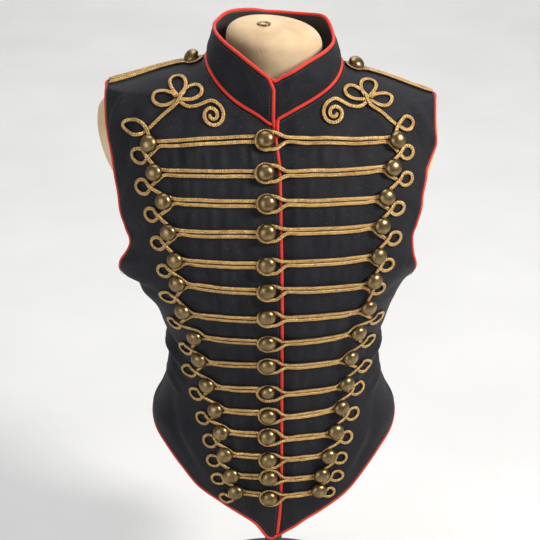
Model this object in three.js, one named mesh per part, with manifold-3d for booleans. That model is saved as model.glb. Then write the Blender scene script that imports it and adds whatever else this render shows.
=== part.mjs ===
// Hussar waistcoat of black cloth on a limbless dress form. Millimetres, +Z up.
// The front faces -Y, +X is the wearer's left, and the origin is under the stand's base.
// The garment's outer surface is a stack of rounded sections. Each cloth piece is a wall
// on that surface, and braid, piping and buttons are made from the same surface, moved out.
import * as THREE from 'three';
import { mergeVertices } from 'three/addons/utils/BufferGeometryUtils.js';
import Module from 'manifold-3d';

const wasm = await Module();
wasm.setup();
const radians = THREE.MathUtils.degToRad;

// Driving dimensions
const CLOTH = 2; // wall of the fronts and the back
const COLLAR_CLOTH = 2.2;
const SEAM_GAP = 0.3;
const AXIS_Y = 12; // where the sections' widest line runs, from side seam to shoulder seam
const UNDERARM = 512; // lowest level of the armhole
const YOKE = 700; // above this level the columns run up to the neck and the shoulder seam
const NECK_HALF = 78; // half width of the neckline at the shoulder seam
const SHOULDER_HALF = 188; // half width from shoulder tip to shoulder tip
const UNDERLAP = 12; // the left front reaches this far past the middle
const LAP_INSET = 3; // and lies this far under the right front
const LAP_EASED = 26; // where the left front is back on the outer surface
const PIPING_RADIUS = 1.9;
const PIPING_SIDES = 5;
const NECK_SEAM = 2.5; // from the neckline up to the middle of its piping
const EDGE_DEPTH = 0.3; // the front edge's piping lies nearly level with the cloth's face
const CORD_WIDTH = 5.3;
const CORD_HEIGHT = 2.6;
const PAIR_WIDTH = 10.9;
const BRAID_LIFT = 1.3; // clears the facets of the cloth under it
const BUTTON_RADIUS = 10;
const BUTTON_HEIGHT = 7.5;
const BUTTON_LIFT = 5.3; // the button's back passes over the braid
const BUTTON_SIDES = 8;
const BUTTON_SHOULDER = { radius: 8, height: 4.65 }; // where the dome turns from its rim to its top
const CENTRE_BUTTON_X = -8;
const LOOP_RADIUS = 10.7; // cord's middle line round a centre button
const LEG_RISE = 1.6; // a loop's legs pass over the front edge's piping
const FORM_BOTTOM = 328;
const BASE_RADIUS = 150;
const BASE_THICKNESS = 18;
const POLE_RADIUS = 11;
const SOCKET = { radius: 14, height: 60 }; // the base's socket that holds the pole
const WORN_TILT = Math.tan(radians(2.5)); // the chest sits a little lower on the left
const NECK_TILT = 0.06; // the neck and the collar's top lean further the same way
// The foot of the right armhole's front edge stands off the form
const FLARE = { out: 17, z: 530, spread: 32, beforeSide: radians(25), width: radians(16) };
const FRONT_NECK = { z: 722, slope: 0.5, curl: 9 }; // neckline from the middle to the shoulder seam
const RIGHT_NECK_DROP = 5; // the right half of it hangs a little lower
const BACK_NECK = { z: 774, drop: 4 };
const COLLAR_MOUTH = { halfWidth: 69, y: 16, front: 84, back: 54 }; // the collar's top edge from above

const cloth = new THREE.MeshStandardMaterial({ color: 0x17161a, roughness: 0.9, metalness: 0 });
const pipingRed = new THREE.MeshStandardMaterial({ color: 0xd8352a, roughness: 0.65, metalness: 0 });
const gold = new THREE.MeshStandardMaterial({ color: 0xb98a45, roughness: 0.45, metalness: 0.6 });
const brass = new THREE.MeshStandardMaterial({ color: 0x7d6a45, roughness: 0.35, metalness: 1 });
const stockinette = new THREE.MeshStandardMaterial({ color: 0xe3cfae, roughness: 0.9, metalness: 0 });
const paintedSteel = new THREE.MeshStandardMaterial({ color: 0x222326, roughness: 0.5, metalness: 0.4 });

// Outer surface, level by level: half width, depth to the front and to the back of AXIS_Y,
// and the exponent that squares the section off.
const sections = [
  { z: 195, halfWidth: 122, front: 117, back: 98, power: 2.3 },
  { z: 250, halfWidth: 137, front: 119, back: 98, power: 2.3 },
  { z: 285, halfWidth: 149, front: 119, back: 98, power: 2.3 },
  { z: 322, halfWidth: 153, front: 118, back: 95, power: 2.3 },
  { z: 350, halfWidth: 141, front: 115, back: 85, power: 2.3 },
  { z: 380, halfWidth: 132, front: 113, back: 77, power: 2.3 },
  { z: 425, halfWidth: 131, front: 116, back: 77, power: 2.3 },
  { z: 455, halfWidth: 137, front: 121, back: 82, power: 2.3 },
  { z: 485, halfWidth: 146, front: 129, back: 88, power: 2.3 },
  { z: 512, halfWidth: 160, front: 132, back: 92, power: 2.35 },
  { z: 545, halfWidth: 177, front: 134, back: 95, power: 2.4 },
  { z: 580, halfWidth: 186, front: 132, back: 97, power: 2.4 },
  { z: 620, halfWidth: 194, front: 124, back: 97, power: 2.4 },
  { z: 660, halfWidth: 198, front: 111, back: 94, power: 2.4 },
  { z: 700, halfWidth: 197, front: 92, back: 86, power: 2.4 },
  { z: 726, halfWidth: 193, front: 76, back: 74, power: 2.4 },
  { z: 741, halfWidth: 188, front: 67, back: 66, power: 2.3 },
  { z: 743, halfWidth: 180.5, front: 65.8, back: 64.7, power: 2.3 },
  { z: 756, halfWidth: 132, front: 58, back: 56, power: 2.2 },
  { z: 770, halfWidth: 78, front: 52, back: 50, power: 2.1 },
  { z: 785, halfWidth: 60, front: 50, back: 49, power: 2 },
];

// Degrees left open between the armhole's edge and the side line, on each front and on the back
const armhole = [
  { z: 512, right: 0, left: 0, back: 0 },
  { z: 522, right: 14, left: 14, back: 10 },
  { z: 545, right: 26, left: 27, back: 18 },
  { z: 575, right: 28, left: 32.5, back: 21 },
  { z: 610, right: 28, left: 35, back: 23 },
  { z: 655, right: 25.5, left: 32.5, back: 22.5 },
  { z: 700, right: 18.5, left: 22, back: 18 },
];

// Level of the hem by degrees from the middle of the front, and from the middle of the back
const frontHem = [
  { angle: 0, z: 195 },
  { angle: 11, z: 219 },
  { angle: 24, z: 236 },
  { angle: 38, z: 254 },
  { angle: 48, z: 281 },
  { angle: 61, z: 303 },
  { angle: 90, z: 320 },
];
const backHem = [
  { angle: 0, z: 312 },
  { angle: 90, z: 320 },
];

// The right front's edge runs just past the middle and comes back to it at neck and tip
const frontEdge = [
  { z: 200, x: 3 },
  { z: 240, x: 7 },
  { z: 300, x: 9 },
  { z: 500, x: 9 },
  { z: 675, x: 8 },
  { z: 690, x: 5 },
  { z: 706, x: 1.5 },
  { z: 724, x: -1.5 },
];

// Level of the collar's top edge by degrees from the middle of the front
const collarTop = [
  { angle: 0, z: 767 },
  { angle: 10, z: 775 },
  { angle: 23, z: 784 },
  { angle: 35, z: 791 },
  { angle: 50, z: 796 },
  { angle: 67, z: 799 },
  { angle: 90, z: 801 },
  { angle: 115, z: 806 },
  { angle: 180, z: 812 },
];

// Dress form, level by level. Its shoulders sit a little to the right of the garment's middle.
const formSections = [
  { z: FORM_BOTTOM, halfWidth: 137, front: 106, back: 83, power: 2.2 },
  { z: 350, halfWidth: 130, front: 104, back: 75, power: 2.2 },
  { z: 380, halfWidth: 122, front: 103, back: 67, power: 2.2 },
  { z: 425, halfWidth: 120, front: 105, back: 67, power: 2.2 },
  { z: 455, halfWidth: 126, front: 110, back: 72, power: 2.2 },
  { z: 485, halfWidth: 133, front: 118, back: 78, power: 2.2 },
  { z: 512, halfWidth: 140, front: 121, back: 82, power: 2.1 },
  { z: 545, halfWidth: 149, front: 122, back: 85, power: 2.1 },
  { z: 580, halfWidth: 162, front: 119, back: 86, power: 2 },
  { z: 620, halfWidth: 179, front: 111, back: 85, power: 2 },
  { z: 660, halfWidth: 194, front: 97, back: 82, power: 1.9 },
  { z: 690, halfWidth: 198, front: 82, back: 77, power: 1.8 },
  { z: 706, halfWidth: 196, front: 74, back: 70, power: 1.8 },
  { z: 720, halfWidth: 186, front: 66, back: 64, power: 1.9 },
  { z: 733, halfWidth: 165, front: 58, back: 57, power: 1.9 },
  { z: 744, halfWidth: 128, front: 53, back: 52, power: 1.9 },
  { z: 755, halfWidth: 86, front: 49, back: 48, power: 2 },
  { z: 765, halfWidth: 62, front: 48, back: 47, power: 2 },
  { z: 785, halfWidth: 55, front: 49, back: 46, power: 2 },
  { z: 806, halfWidth: 54, front: 49, back: 46, power: 2 },
  { z: 812, halfWidth: 48, front: 43, back: 41, power: 2 },
];

// Rows of braid from the collar down: level of the loop at the middle and of its button
const rows = [
  { loop: 705, button: 703.5 },
  { loop: 673, button: 673 },
  { loop: 642, button: 643.5 },
  { loop: 610.5, button: 611.5 },
  { loop: 574, button: 576 },
  { loop: 542, button: 545 },
  { loop: 508, button: 512 },
  { loop: 472.5, button: 479 },
  { loop: 438.5, button: 442 },
  { loop: 399, button: 404.5 },
  { loop: 368.5, button: 372 },
  { loop: 340, button: 343.5 },
  { loop: 309, button: 314.5 },
  { loop: 286, button: 289 },
  { loop: 256, button: 259 },
];

// The rows on the right side: level of the cords at the middle and at the side button, reach and
// level of that button, reach and level of the middle of the ring below it
const rightRows = [
  { middle: 705, end: 693.5, reach: 137, button: 692.5, ring: 149, ringZ: 678.5 },
  { middle: 672, end: 665.5, reach: 131.5, button: 665, ring: 146, ringZ: 648 },
  { middle: 641.5, end: 638, reach: 121, button: 637.5, ring: 137, ringZ: 620 },
  { middle: 609, end: 605, reach: 116, button: 605, ring: 130, ringZ: 588.5 },
  { middle: 574, end: 572, reach: 109, button: 574, ring: 123, ringZ: 556 },
  { middle: 542, end: 544, reach: 107, button: 545, ring: 118.5, ringZ: 520.5 },
  { middle: 506, end: 503, reach: 101.5, button: 507.5, ring: 115, ringZ: 478.5 },
  { middle: 475, end: 472.5, reach: 89, button: 471.5, ring: 103, ringZ: 443.5 },
  { middle: 440, end: 434, reach: 85, button: 437.5, ring: 99, ringZ: 413 },
  { middle: 405, end: 402, reach: 76.5, button: 403.5, ring: 92, ringZ: 384 },
  { middle: 373, end: 371, reach: 67.5, button: 371, ring: 84.5, ringZ: 355.5 },
  { middle: 344, end: 344, reach: 61.5, button: 343.5, ring: 76, ringZ: 329.5 },
  { middle: 315, end: 315.5, reach: 57.5, button: 316, ring: 72, ringZ: 303.5 },
  { middle: 287, end: 286.5, reach: 50, button: 288.5, ring: 67, ringZ: 278.5 },
  { middle: 261, end: 263, reach: 45, button: 265, ring: 58, ringZ: 253 },
];

// The same on the left side
const leftRows = [
  { middle: 706, end: 705.5, reach: 135.5, button: 704.5, ring: 148.5, ringZ: 690.5 },
  { middle: 673, end: 675.5, reach: 130.5, button: 675.5, ring: 147, ringZ: 660.5 },
  { middle: 642.5, end: 643, reach: 123.5, button: 644, ring: 137.5, ringZ: 628 },
  { middle: 612, end: 611.5, reach: 118.5, button: 612, ring: 134.5, ringZ: 593.5 },
  { middle: 576, end: 576.5, reach: 115, button: 578, ring: 127, ringZ: 562.5 },
  { middle: 544, end: 542, reach: 111, button: 548, ring: 118, ringZ: 533.5 },
  { middle: 507, end: 507, reach: 105.5, button: 512.5, ring: 119.5, ringZ: 483.5 },
  { middle: 473, end: 476, reach: 95, button: 476.5, ring: 110.5, ringZ: 451 },
  { middle: 438, end: 436, reach: 87, button: 440, ring: 106, ringZ: 415.5 },
  { middle: 399, end: 400, reach: 83.5, button: 403.5, ring: 99.5, ringZ: 388 },
  { middle: 367, end: 371.5, reach: 78, button: 371.5, ring: 93.5, ringZ: 358 },
  { middle: 338.5, end: 340, reach: 72.5, button: 343, ring: 86.5, ringZ: 331.5 },
  { middle: 311, end: 314, reach: 64.5, button: 313, ring: 80, ringZ: 305.5 },
  { middle: 283.5, end: 285, reach: 56.5, button: 288, ring: 75.5, ringZ: 281 },
  { middle: 259, end: 263, reach: 53.5, button: 266, ring: 67, ringZ: 258 },
];

// Small maths

const degrees = THREE.MathUtils.radToDeg;
const mix = THREE.MathUtils.lerp;
const clamp = THREE.MathUtils.clamp;
const ease = (value, from, to) => THREE.MathUtils.smoothstep(value, from, to);
const along = (count) => Array.from({ length: count + 1 }, (_, i) => i / count);

// Smooth curve through a table's named columns that never overshoots its rows
function readTable(table, key, column, at) {
  const rise = (i) => (table[i + 1][column] - table[i][column]) / (table[i + 1][key] - table[i][key]);
  const slope = (i) => {
    if (i === 0) return rise(0);
    if (i === table.length - 1) return rise(i - 1);
    const before = rise(i - 1);
    const after = rise(i);
    return before * after <= 0 ? 0 : (2 * before * after) / (before + after);
  };
  const inside = clamp(at, table[0][key], table.at(-1)[key]);
  let i = table.findIndex((row) => row[key] > inside) - 1;
  if (i < 0) i = table.length - 2;
  const width = table[i + 1][key] - table[i][key];
  const t = (inside - table[i][key]) / width;
  return (2 * t ** 3 - 3 * t ** 2 + 1) * table[i][column]
    + (t ** 3 - 2 * t ** 2 + t) * width * slope(i)
    + (3 * t ** 2 - 2 * t ** 3) * table[i + 1][column]
    + (t ** 3 - t ** 2) * width * slope(i + 1);
}

const section = (column, z) => readTable(sections, 'z', column, z);

// Level of the shoulder seam at a distance from the middle: where the surface is that wide
function ridgeLevel(reach) {
  let low = 726;
  let high = 785;
  for (let i = 0; i < 40; i += 1) {
    const middle = (low + high) / 2;
    if (section('halfWidth', middle) > reach) low = middle;
    else high = middle;
  }
  return (low + high) / 2;
}

function frontNeck(reach) {
  return FRONT_NECK.z + FRONT_NECK.slope * reach + FRONT_NECK.curl * (reach / NECK_HALF) ** 6;
}

const backNeck = (reach) => BACK_NECK.z - BACK_NECK.drop * (reach / NECK_HALF) ** 2;

// A superellipse section's point. Angle 0 is the middle of the front, 90 degrees the left side.
function ringPoint(ring, angle, z) {
  const sine = Math.sin(angle);
  const cosine = Math.cos(angle);
  const depth = cosine > 0 ? -ring.front : ring.back;
  const x = ring.halfWidth * Math.sign(sine) * Math.abs(sine) ** (2 / ring.power);
  const y = AXIS_Y + depth * Math.abs(cosine) ** (2 / ring.power);
  return new THREE.Vector3(x, y, z);
}

const tilt = (z) => WORN_TILT * ease(z, 600, 730);

function surfacePoint(angle, z) {
  const ring = {};
  for (const column of ['halfWidth', 'front', 'back', 'power']) ring[column] = section(column, z);
  const point = ringPoint(ring, angle, z);
  const round = (angle + Math.PI / 2 - FLARE.beforeSide) / FLARE.width;
  const up = (z - FLARE.z) / FLARE.spread;
  point.x -= FLARE.out * Math.exp(-(round ** 2) - up ** 2);
  point.z -= tilt(z) * point.x;
  return point;
}

// Point and outward direction, moved out by a lift
function onSurface(angle, z, lift = 0) {
  const step = radians(1.5);
  const round = surfacePoint(angle + step, z).sub(surfacePoint(angle - step, z));
  const up = surfacePoint(angle, z + 1).sub(surfacePoint(angle, z - 1));
  const out = round.cross(up).normalize();
  const point = surfacePoint(angle, z).addScaledVector(out, lift);
  return { point, out };
}

// Angle of a point of the front at a distance x from the middle
function angleAt(x, z) {
  const ratio = clamp(Math.abs(x) / section('halfWidth', z), 0, 1);
  return Math.sign(x) * Math.asin(ratio ** (section('power', z) / 2));
}

const onFront = (x, z, lift) => onSurface(angleAt(x, z), z, lift);

// From a point of the front, a distance up the cloth at the same x
function climb(x, z, distance) {
  let level = z;
  const step = Math.sign(distance);
  for (let i = 0; i < Math.abs(distance); i += 1) {
    const above = surfacePoint(angleAt(x, level + 0.5), level + 0.5);
    const below = surfacePoint(angleAt(x, level - 0.5), level - 0.5);
    level += step / Math.hypot(1, above.y - below.y);
  }
  return level;
}

// Solids

function closedGeometry(points, triangles) {
  const geometry = new THREE.BufferGeometry();
  geometry.setAttribute('position', new THREE.Float32BufferAttribute(points.flatMap((p) => p.toArray()), 3));
  let volume = 0;
  for (const [a, b, c] of triangles) {
    volume += points[a].dot(new THREE.Vector3().crossVectors(points[b], points[c]));
  }
  const outward = volume > 0 ? triangles : triangles.map(([a, b, c]) => [a, c, b]);
  geometry.setIndex(outward.flat());
  return geometry;
}

const quad = (a, b, c, d) => [[a, b, c], [a, c, d]];

// A grid of outer points with outward directions becomes a wall of even thickness
function wall(grid, thickness) {
  const high = grid.length;
  const wide = grid[0].length;
  const outer = grid.flat().map((node) => node.point);
  const inner = grid.flat().map((node) => node.point.clone().addScaledVector(node.out, -thickness));
  const at = (row, column, side) => side * high * wide + row * wide + column;
  const triangles = [];
  for (let r = 0; r < high - 1; r += 1) {
    for (let c = 0; c < wide - 1; c += 1) {
      triangles.push(...quad(at(r, c, 0), at(r, c + 1, 0), at(r + 1, c + 1, 0), at(r + 1, c, 0)));
      triangles.push(...quad(at(r, c, 1), at(r + 1, c, 1), at(r + 1, c + 1, 1), at(r, c + 1, 1)));
    }
  }
  const rim = [];
  for (let c = 0; c < wide - 1; c += 1) rim.push([0, c]);
  for (let r = 0; r < high - 1; r += 1) rim.push([r, wide - 1]);
  for (let c = wide - 1; c > 0; c -= 1) rim.push([high - 1, c]);
  for (let r = high - 1; r > 0; r -= 1) rim.push([r, 0]);
  rim.forEach(([r, c], i) => {
    const [nextR, nextC] = rim[(i + 1) % rim.length];
    triangles.push(...quad(at(r, c, 0), at(r, c, 1), at(nextR, nextC, 1), at(nextR, nextC, 0)));
  });
  return closedGeometry([...outer, ...inner], triangles);
}

// Rings of equal length stacked into a closed body, capped at both ends unless it is a loop
function loft(rings, loop = false) {
  const size = rings[0].length;
  const points = rings.flat();
  const triangles = [];
  const last = loop ? rings.length : rings.length - 1;
  for (let r = 0; r < last; r += 1) {
    const next = (r + 1) % rings.length;
    for (let i = 0; i < size; i += 1) {
      const j = (i + 1) % size;
      triangles.push(...quad(r * size + i, r * size + j, next * size + j, next * size + i));
    }
  }
  if (!loop) {
    const end = (rings.length - 1) * size;
    for (let i = 1; i < size - 1; i += 1) {
      triangles.push([0, i + 1, i]);
      triangles.push([end, end + i, end + i + 1]);
    }
  }
  return closedGeometry(points, triangles);
}

// A profile of [across, out] pairs carried along points that know which way is out
function sectionsAlong(path, profile, loop = false) {
  return path.map(({ point, out }, i) => {
    const before = path[loop ? (i + path.length - 1) % path.length : Math.max(i - 1, 0)].point;
    const after = path[loop ? (i + 1) % path.length : Math.min(i + 1, path.length - 1)].point;
    const forward = after.clone().sub(before).normalize();
    const across = new THREE.Vector3().crossVectors(forward, out).normalize();
    return profile.map(([a, o]) => point.clone().addScaledVector(across, a).addScaledVector(out, o));
  });
}

const sweep = (path, profile, loop) => loft(sectionsAlong(path, profile, loop), loop);

// A cord that crosses itself is swept as two bodies that meet in one section
function sweepInTwo(path, profile, meeting) {
  const rings = sectionsAlong(path, profile);
  return [loft(rings.slice(0, meeting + 1)), loft(rings.slice(meeting))];
}

function join(geometries) {
  const solids = geometries.map((geometry) => {
    const merged = mergeVertices(geometry, 1e-4);
    return new wasm.Manifold(new wasm.Mesh({
      numProp: 3,
      vertProperties: new Float32Array(merged.attributes.position.array),
      triVerts: new Uint32Array(merged.index.array),
    }));
  });
  const mesh = solids.reduce((all, solid) => all.add(solid)).getMesh();
  const geometry = new THREE.BufferGeometry();
  geometry.setAttribute('position', new THREE.BufferAttribute(mesh.vertProperties, 3));
  geometry.setIndex(new THREE.BufferAttribute(mesh.triVerts, 1));
  return geometry;
}

const half = CORD_WIDTH / 2;
const top = 0.62 * half; // half width of a cord's flat top
const cordProfile = [[-half, 0], [-top, CORD_HEIGHT], [top, CORD_HEIGHT], [half, 0]];
const pairHalf = PAIR_WIDTH / 2;
const crest = 0.66 * pairHalf; // from the groove between two cords to the top of each
const pairProfile = [
  [-pairHalf, 0], [-crest, CORD_HEIGHT], [0, CORD_HEIGHT / 2], [crest, CORD_HEIGHT], [pairHalf, 0],
];
const pipingProfile = Array.from({ length: PIPING_SIDES }, (_, i) => {
  const angle = (2 * Math.PI * i) / PIPING_SIDES;
  return [PIPING_RADIUS * Math.cos(angle), PIPING_RADIUS * Math.sin(angle)];
});

// Cloth panels

const WAIST_LEVELS = [340, 370, 400, 430, 460, 487, UNDERARM];
const HEM_STEPS = 3; // from the hem to the lowest of them
const LOW_STEPS = HEM_STEPS + WAIST_LEVELS.length - 1;
const ARM_LEVELS = [522, 545, 575, 610, 655, 700];
const YOKE_STEPS = 5;
const shoulderColumns = [102, 130, 159, SHOULDER_HALF];
const neckColumns = [48, 62, 72, 76.5, NECK_HALF];
const backColumns = [0, 26, 49, 66, 75.5, NECK_HALF];
const HEM_TURN = 260; // a column's place along the hem is read from its angle at this level
const RIGHT_HEM_RISE = 8; // the right front's slant is worn a little higher

// One column's points from hem to top. The column keeps its angle up to the yoke and then
// leans over to its place on the neckline or the shoulder seam.
function columnPoints({ side, angleOf, hemLevel, topX, topLevel, inset, facing }) {
  const hemRise = along(HEM_STEPS).slice(0, -1).map((t) => mix(hemLevel, WAIST_LEVELS[0], t));
  const levels = [...hemRise, ...WAIST_LEVELS, ...ARM_LEVELS];
  const lower = levels.map((z) => ({ angle: angleOf(z), z }));
  const yokeX = surfacePoint(angleOf(YOKE), YOKE).x;
  const onRidge = ease(topX, 40, NECK_HALF);
  const upper = along(YOKE_STEPS).slice(1).map((t) => {
    const z = mix(YOKE, topLevel, mix(t, Math.sin((t * Math.PI) / 2), onRidge));
    const x = mix(yokeX, topX, t);
    const front = t === 1 && onRidge === 1 ? Math.PI / 2 : angleAt(x, z);
    return { angle: facing < 0 ? front : Math.PI - front, z };
  });
  return [...lower, ...upper].map(({ angle, z }) => {
    const node = onSurface(side * angle, z, -inset(z));
    node.point.y += (facing * SEAM_GAP) / 2;
    return node;
  });
}

const rowsFrom = (columns) => columns[0].map((_, row) => columns.map((column) => column[row]));

// A front is drawn for the left side, x growing towards the arm, and mirrored for the right
function frontGrid(side, edgeColumns, insets) {
  const count = neckColumns.length + shoulderColumns.length;
  const lastEdge = edgeColumns.at(-1);
  const topXs = [...edgeColumns.map((edge) => edge(frontNeck(0))), ...neckColumns, ...shoulderColumns];
  const columns = topXs.map((topX, index) => {
    const step = index - edgeColumns.length + 1;
    const angleOf = (z) => {
      if (step <= 0) return angleAt(edgeColumns[index](z), z);
      const open = radians(z < UNDERARM ? 0 : readTable(armhole, 'z', side < 0 ? 'right' : 'left', z));
      return mix(angleAt(lastEdge(z), z), Math.PI / 2 - open, step / count);
    };
    const reach = Math.abs(topX);
    const drop = side < 0 ? RIGHT_NECK_DROP * Math.sin(Math.PI * Math.min(reach / 70, 1)) : 0;
    const hemAngle = Math.abs(degrees(angleOf(HEM_TURN)));
    const rise = side < 0 ? RIGHT_HEM_RISE * ease(hemAngle, 0, 6) * (1 - ease(hemAngle, 25, 60)) : 0;
    return columnPoints({
      side,
      angleOf,
      hemLevel: readTable(frontHem, 'angle', 'z', hemAngle) + rise,
      topX,
      topLevel: reach < NECK_HALF ? frontNeck(reach) - drop : ridgeLevel(reach),
      inset: () => insets[index] ?? 0,
      facing: -1,
    });
  });
  return rowsFrom(columns);
}

const constant = (x) => () => x;
const rightEdge = (z) => -readTable(frontEdge, 'z', 'x', z);
const rightGrid = frontGrid(-1, [rightEdge, constant(14), constant(30)], []);
const leftGrid = frontGrid(1, [constant(-UNDERLAP), constant(UNDERLAP), constant(LAP_EASED)],
  [LAP_INSET, LAP_INSET]);

function backGrid() {
  const topXs = [...backColumns, ...shoulderColumns];
  const halfBack = (side) => topXs.map((topX, index) => {
    const angleOf = (z) => {
      const open = radians(z < UNDERARM ? 0 : readTable(armhole, 'z', 'back', z));
      return Math.PI - (Math.PI / 2 - open) * (index / (topXs.length - 1));
    };
    return columnPoints({
      side,
      angleOf,
      hemLevel: readTable(backHem, 'angle', 'z', (90 * index) / (topXs.length - 1)),
      topX,
      topLevel: topX < NECK_HALF ? backNeck(topX) : ridgeLevel(topX),
      inset: () => 0,
      facing: 1,
    });
  });
  return rowsFrom([...halfBack(-1).reverse(), ...halfBack(1).slice(1)]);
}

const back = backGrid();

// Collar: its foot follows the neckline's own points, its top edge the collarTop table

const topRow = (grid) => grid.at(-1);
const rightNeck = topRow(rightGrid).slice(0, 3 + neckColumns.length);
const leftNeck = topRow(leftGrid).slice(0, 3 + neckColumns.length);
const backNeckline = topRow(back).slice(shoulderColumns.length, -shoulderColumns.length);

// Round the neck from the right front's edge over the back to the left front's edge
const neckRun = [...rightNeck, ...backNeckline.slice(1, -1), ...leftNeck.toReversed()];

function collarTopPoint(foot) {
  const sine = clamp(foot.x / NECK_HALF, -1, 1);
  const behind = foot.y > AXIS_Y;
  const angle = behind ? 180 - Math.abs(degrees(Math.asin(sine))) : Math.abs(degrees(Math.asin(sine)));
  const cosine = Math.abs(Math.cos(radians(angle)));
  const x = COLLAR_MOUTH.halfWidth * sine;
  const y = COLLAR_MOUTH.y + (behind ? COLLAR_MOUTH.back : -COLLAR_MOUTH.front) * cosine;
  const lean = (WORN_TILT + NECK_TILT) * (behind ? 1 - ease(cosine, 0, 0.6) : 1);
  return new THREE.Vector3(x, y, readTable(collarTop, 'angle', 'z', angle) - lean * x);
}

// How far a point of the left end lies under the right end
const underEnd = (index) => (index >= neckRun.length - 2 ? LAP_INSET : 0);

const collarColumns = neckRun.map(({ point, out }, index) => {
  const top = collarTopPoint(point);
  const inward = new THREE.Vector3(point.x, point.y - AXIS_Y, 0).normalize().negate();
  top.addScaledVector(inward, underEnd(index));
  return { foot: point, out, top, rise: top.clone().sub(point).normalize() };
});

const COLLAR_STEPS = 3;

function collarGrid() {
  const lines = along(COLLAR_STEPS).map((t) => collarColumns.map(({ foot, rise, top }) => {
    const start = foot.clone().addScaledVector(rise, 2 * NECK_SEAM);
    return start.lerp(top, t);
  }));
  return lines.map((line) => line.map((point, i) => {
    const sideways = line[Math.min(i + 1, line.length - 1)].clone().sub(line[Math.max(i - 1, 0)]);
    const out = new THREE.Vector3().crossVectors(collarColumns[i].rise, sideways).normalize();
    return { point, out };
  }));
}

const collar = collarGrid();

// Piping lies along an edge, beside the wall and level with its middle
function pipe(edge, { towards = 1, depth = CLOTH / 2, loop = false } = {}) {
  const path = edge.map(({ point, out }, i) => {
    const before = edge[loop ? (i + edge.length - 1) % edge.length : Math.max(i - 1, 0)].point;
    const after = edge[loop ? (i + 1) % edge.length : Math.min(i + 1, edge.length - 1)].point;
    const away = after.clone().sub(before).cross(out).normalize().multiplyScalar(towards);
    const centre = point.clone().addScaledVector(away, SEAM_GAP + PIPING_RADIUS);
    return { point: centre.addScaledVector(out, -depth), out };
  });
  return sweep(path, pipingProfile, loop);
}

const firstColumn = (grid) => grid.map((row) => row[0]);
const lastColumn = (grid) => grid.map((row) => row.at(-1));

function armholePiping(frontSide, backSide, towards) {
  const up = frontSide.slice(LOW_STEPS);
  const down = backSide.slice(LOW_STEPS + 1, -1).toReversed();
  return pipe([...up, ...down], { towards, loop: true });
}

const between = (a, b, t) => ({ point: a.point.clone().lerp(b.point, t), out: a.out });

// The same edge, begun a little earlier so that its piping meets the front edge's piping
function startEarlier(edge) {
  const span = edge[0].point.distanceTo(edge[1].point);
  return [between(edge[0], edge[1], (-1.5 * PIPING_RADIUS) / span), ...edge];
}

// One run: up the right front's edge and the collar's end, round the collar's top, round the
// neck seam and round the hem, with the short stretch of the left edge that shows at the neck
function edgePiping() {
  const collarEnd = firstColumn(collar);
  const corner = { ...collarEnd.at(-1) };
  corner.point = corner.point.clone().addScaledVector(collarColumns[0].rise, SEAM_GAP + PIPING_RADIUS);
  const frontLine = startEarlier([...firstColumn(rightGrid), ...collarEnd, corner]);
  const front = pipe(frontLine, { depth: EDGE_DEPTH });

  const topLine = collar.at(-1);
  const topEnd = between(topLine.at(-2), topLine.at(-1), 0.4);
  const top = pipe(startEarlier([...topLine.slice(0, -1), topEnd]), { depth: COLLAR_CLOTH / 2 });

  const seam = collarColumns.slice(0, -1).map(({ foot, rise, out }) => (
    { point: foot.clone().addScaledVector(rise, NECK_SEAM), out }));
  const neck = sweep(startEarlier(seam), pipingProfile);
  const leftEdge = sweep([seam.at(-1), onFront(9, 719, 1), onFront(6.4, 702, 0.2)], pipingProfile);

  const leftHem = leftGrid[0].slice(1).toReversed();
  const hemEnd = between(leftGrid[0][1], leftGrid[0][0], 0.25);
  const hemEdge = startEarlier([...rightGrid[0], ...back[0].slice(1, -1), ...leftHem, hemEnd]);
  const hem = pipe(hemEdge, { towards: -1 });
  return join([front, top, neck, leftEdge, hem]);
}

// Braid: on each side one cord runs from the trefoil down through every ring and row. It is
// drawn as [reach, z] stops of one side, laid on the surface, and swept in stretches that each
// end half way round a ring or a loop, so that no stretch crosses itself.

const ARC_STEPS = 3; // for each half of a ring
const ROW_STEP = 26;
const CROSSING_RISE = 0.6; // the cord that comes back from a ring lies over the one that goes in
const BESIDE = (CORD_WIDTH + 0.4) / 2; // from a row's middle to each of its two cords
const ROW_START = 10; // a row's cords run straight from this far inside the side button
const BEND = { inward: 5, beside: 0.27 }; // beside is a share of the distance to the next row
const LEG = { reach: 12, beside: 3.8, from: 20 }; // a loop's leg on its way to the centre button
const RING = { offset: 9.3, radius: 7.2 }; // the offset is from the ring's middle to its crossing
const TOP_RINGS = {
  right: { middle: [159, 705], crossing: [141, 706], radius: 7.6, lift: 0.6 },
  left: { middle: [151.5, 721.5], crossing: [138, 720], radius: 7.2, lift: 0.6 },
};
const LAST_RING = { inward: 1, below: 9, radius: 6.4 };

const lay = (side, lift) => ([reach, z, extra = 0]) => onFront(side * reach, z, lift + extra);

const rowsOf = (side) => (side < 0 ? rightRows : leftRows);

// A row runs level at the middle and bends to its side button
function rowLevel({ middle, end, reach }, at) {
  return mix(middle, end, clamp(at / reach, 0, 1) ** 1.5);
}

// One cord of a row, from its side button to its inner end
function rowCord(row, inner, beside) {
  const outer = row.reach - ROW_START;
  return along(Math.ceil((outer - inner) / ROW_STEP)).map((t) => {
    const reach = mix(outer, inner, t);
    return [reach, rowLevel(row, reach) + beside];
  });
}

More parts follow.
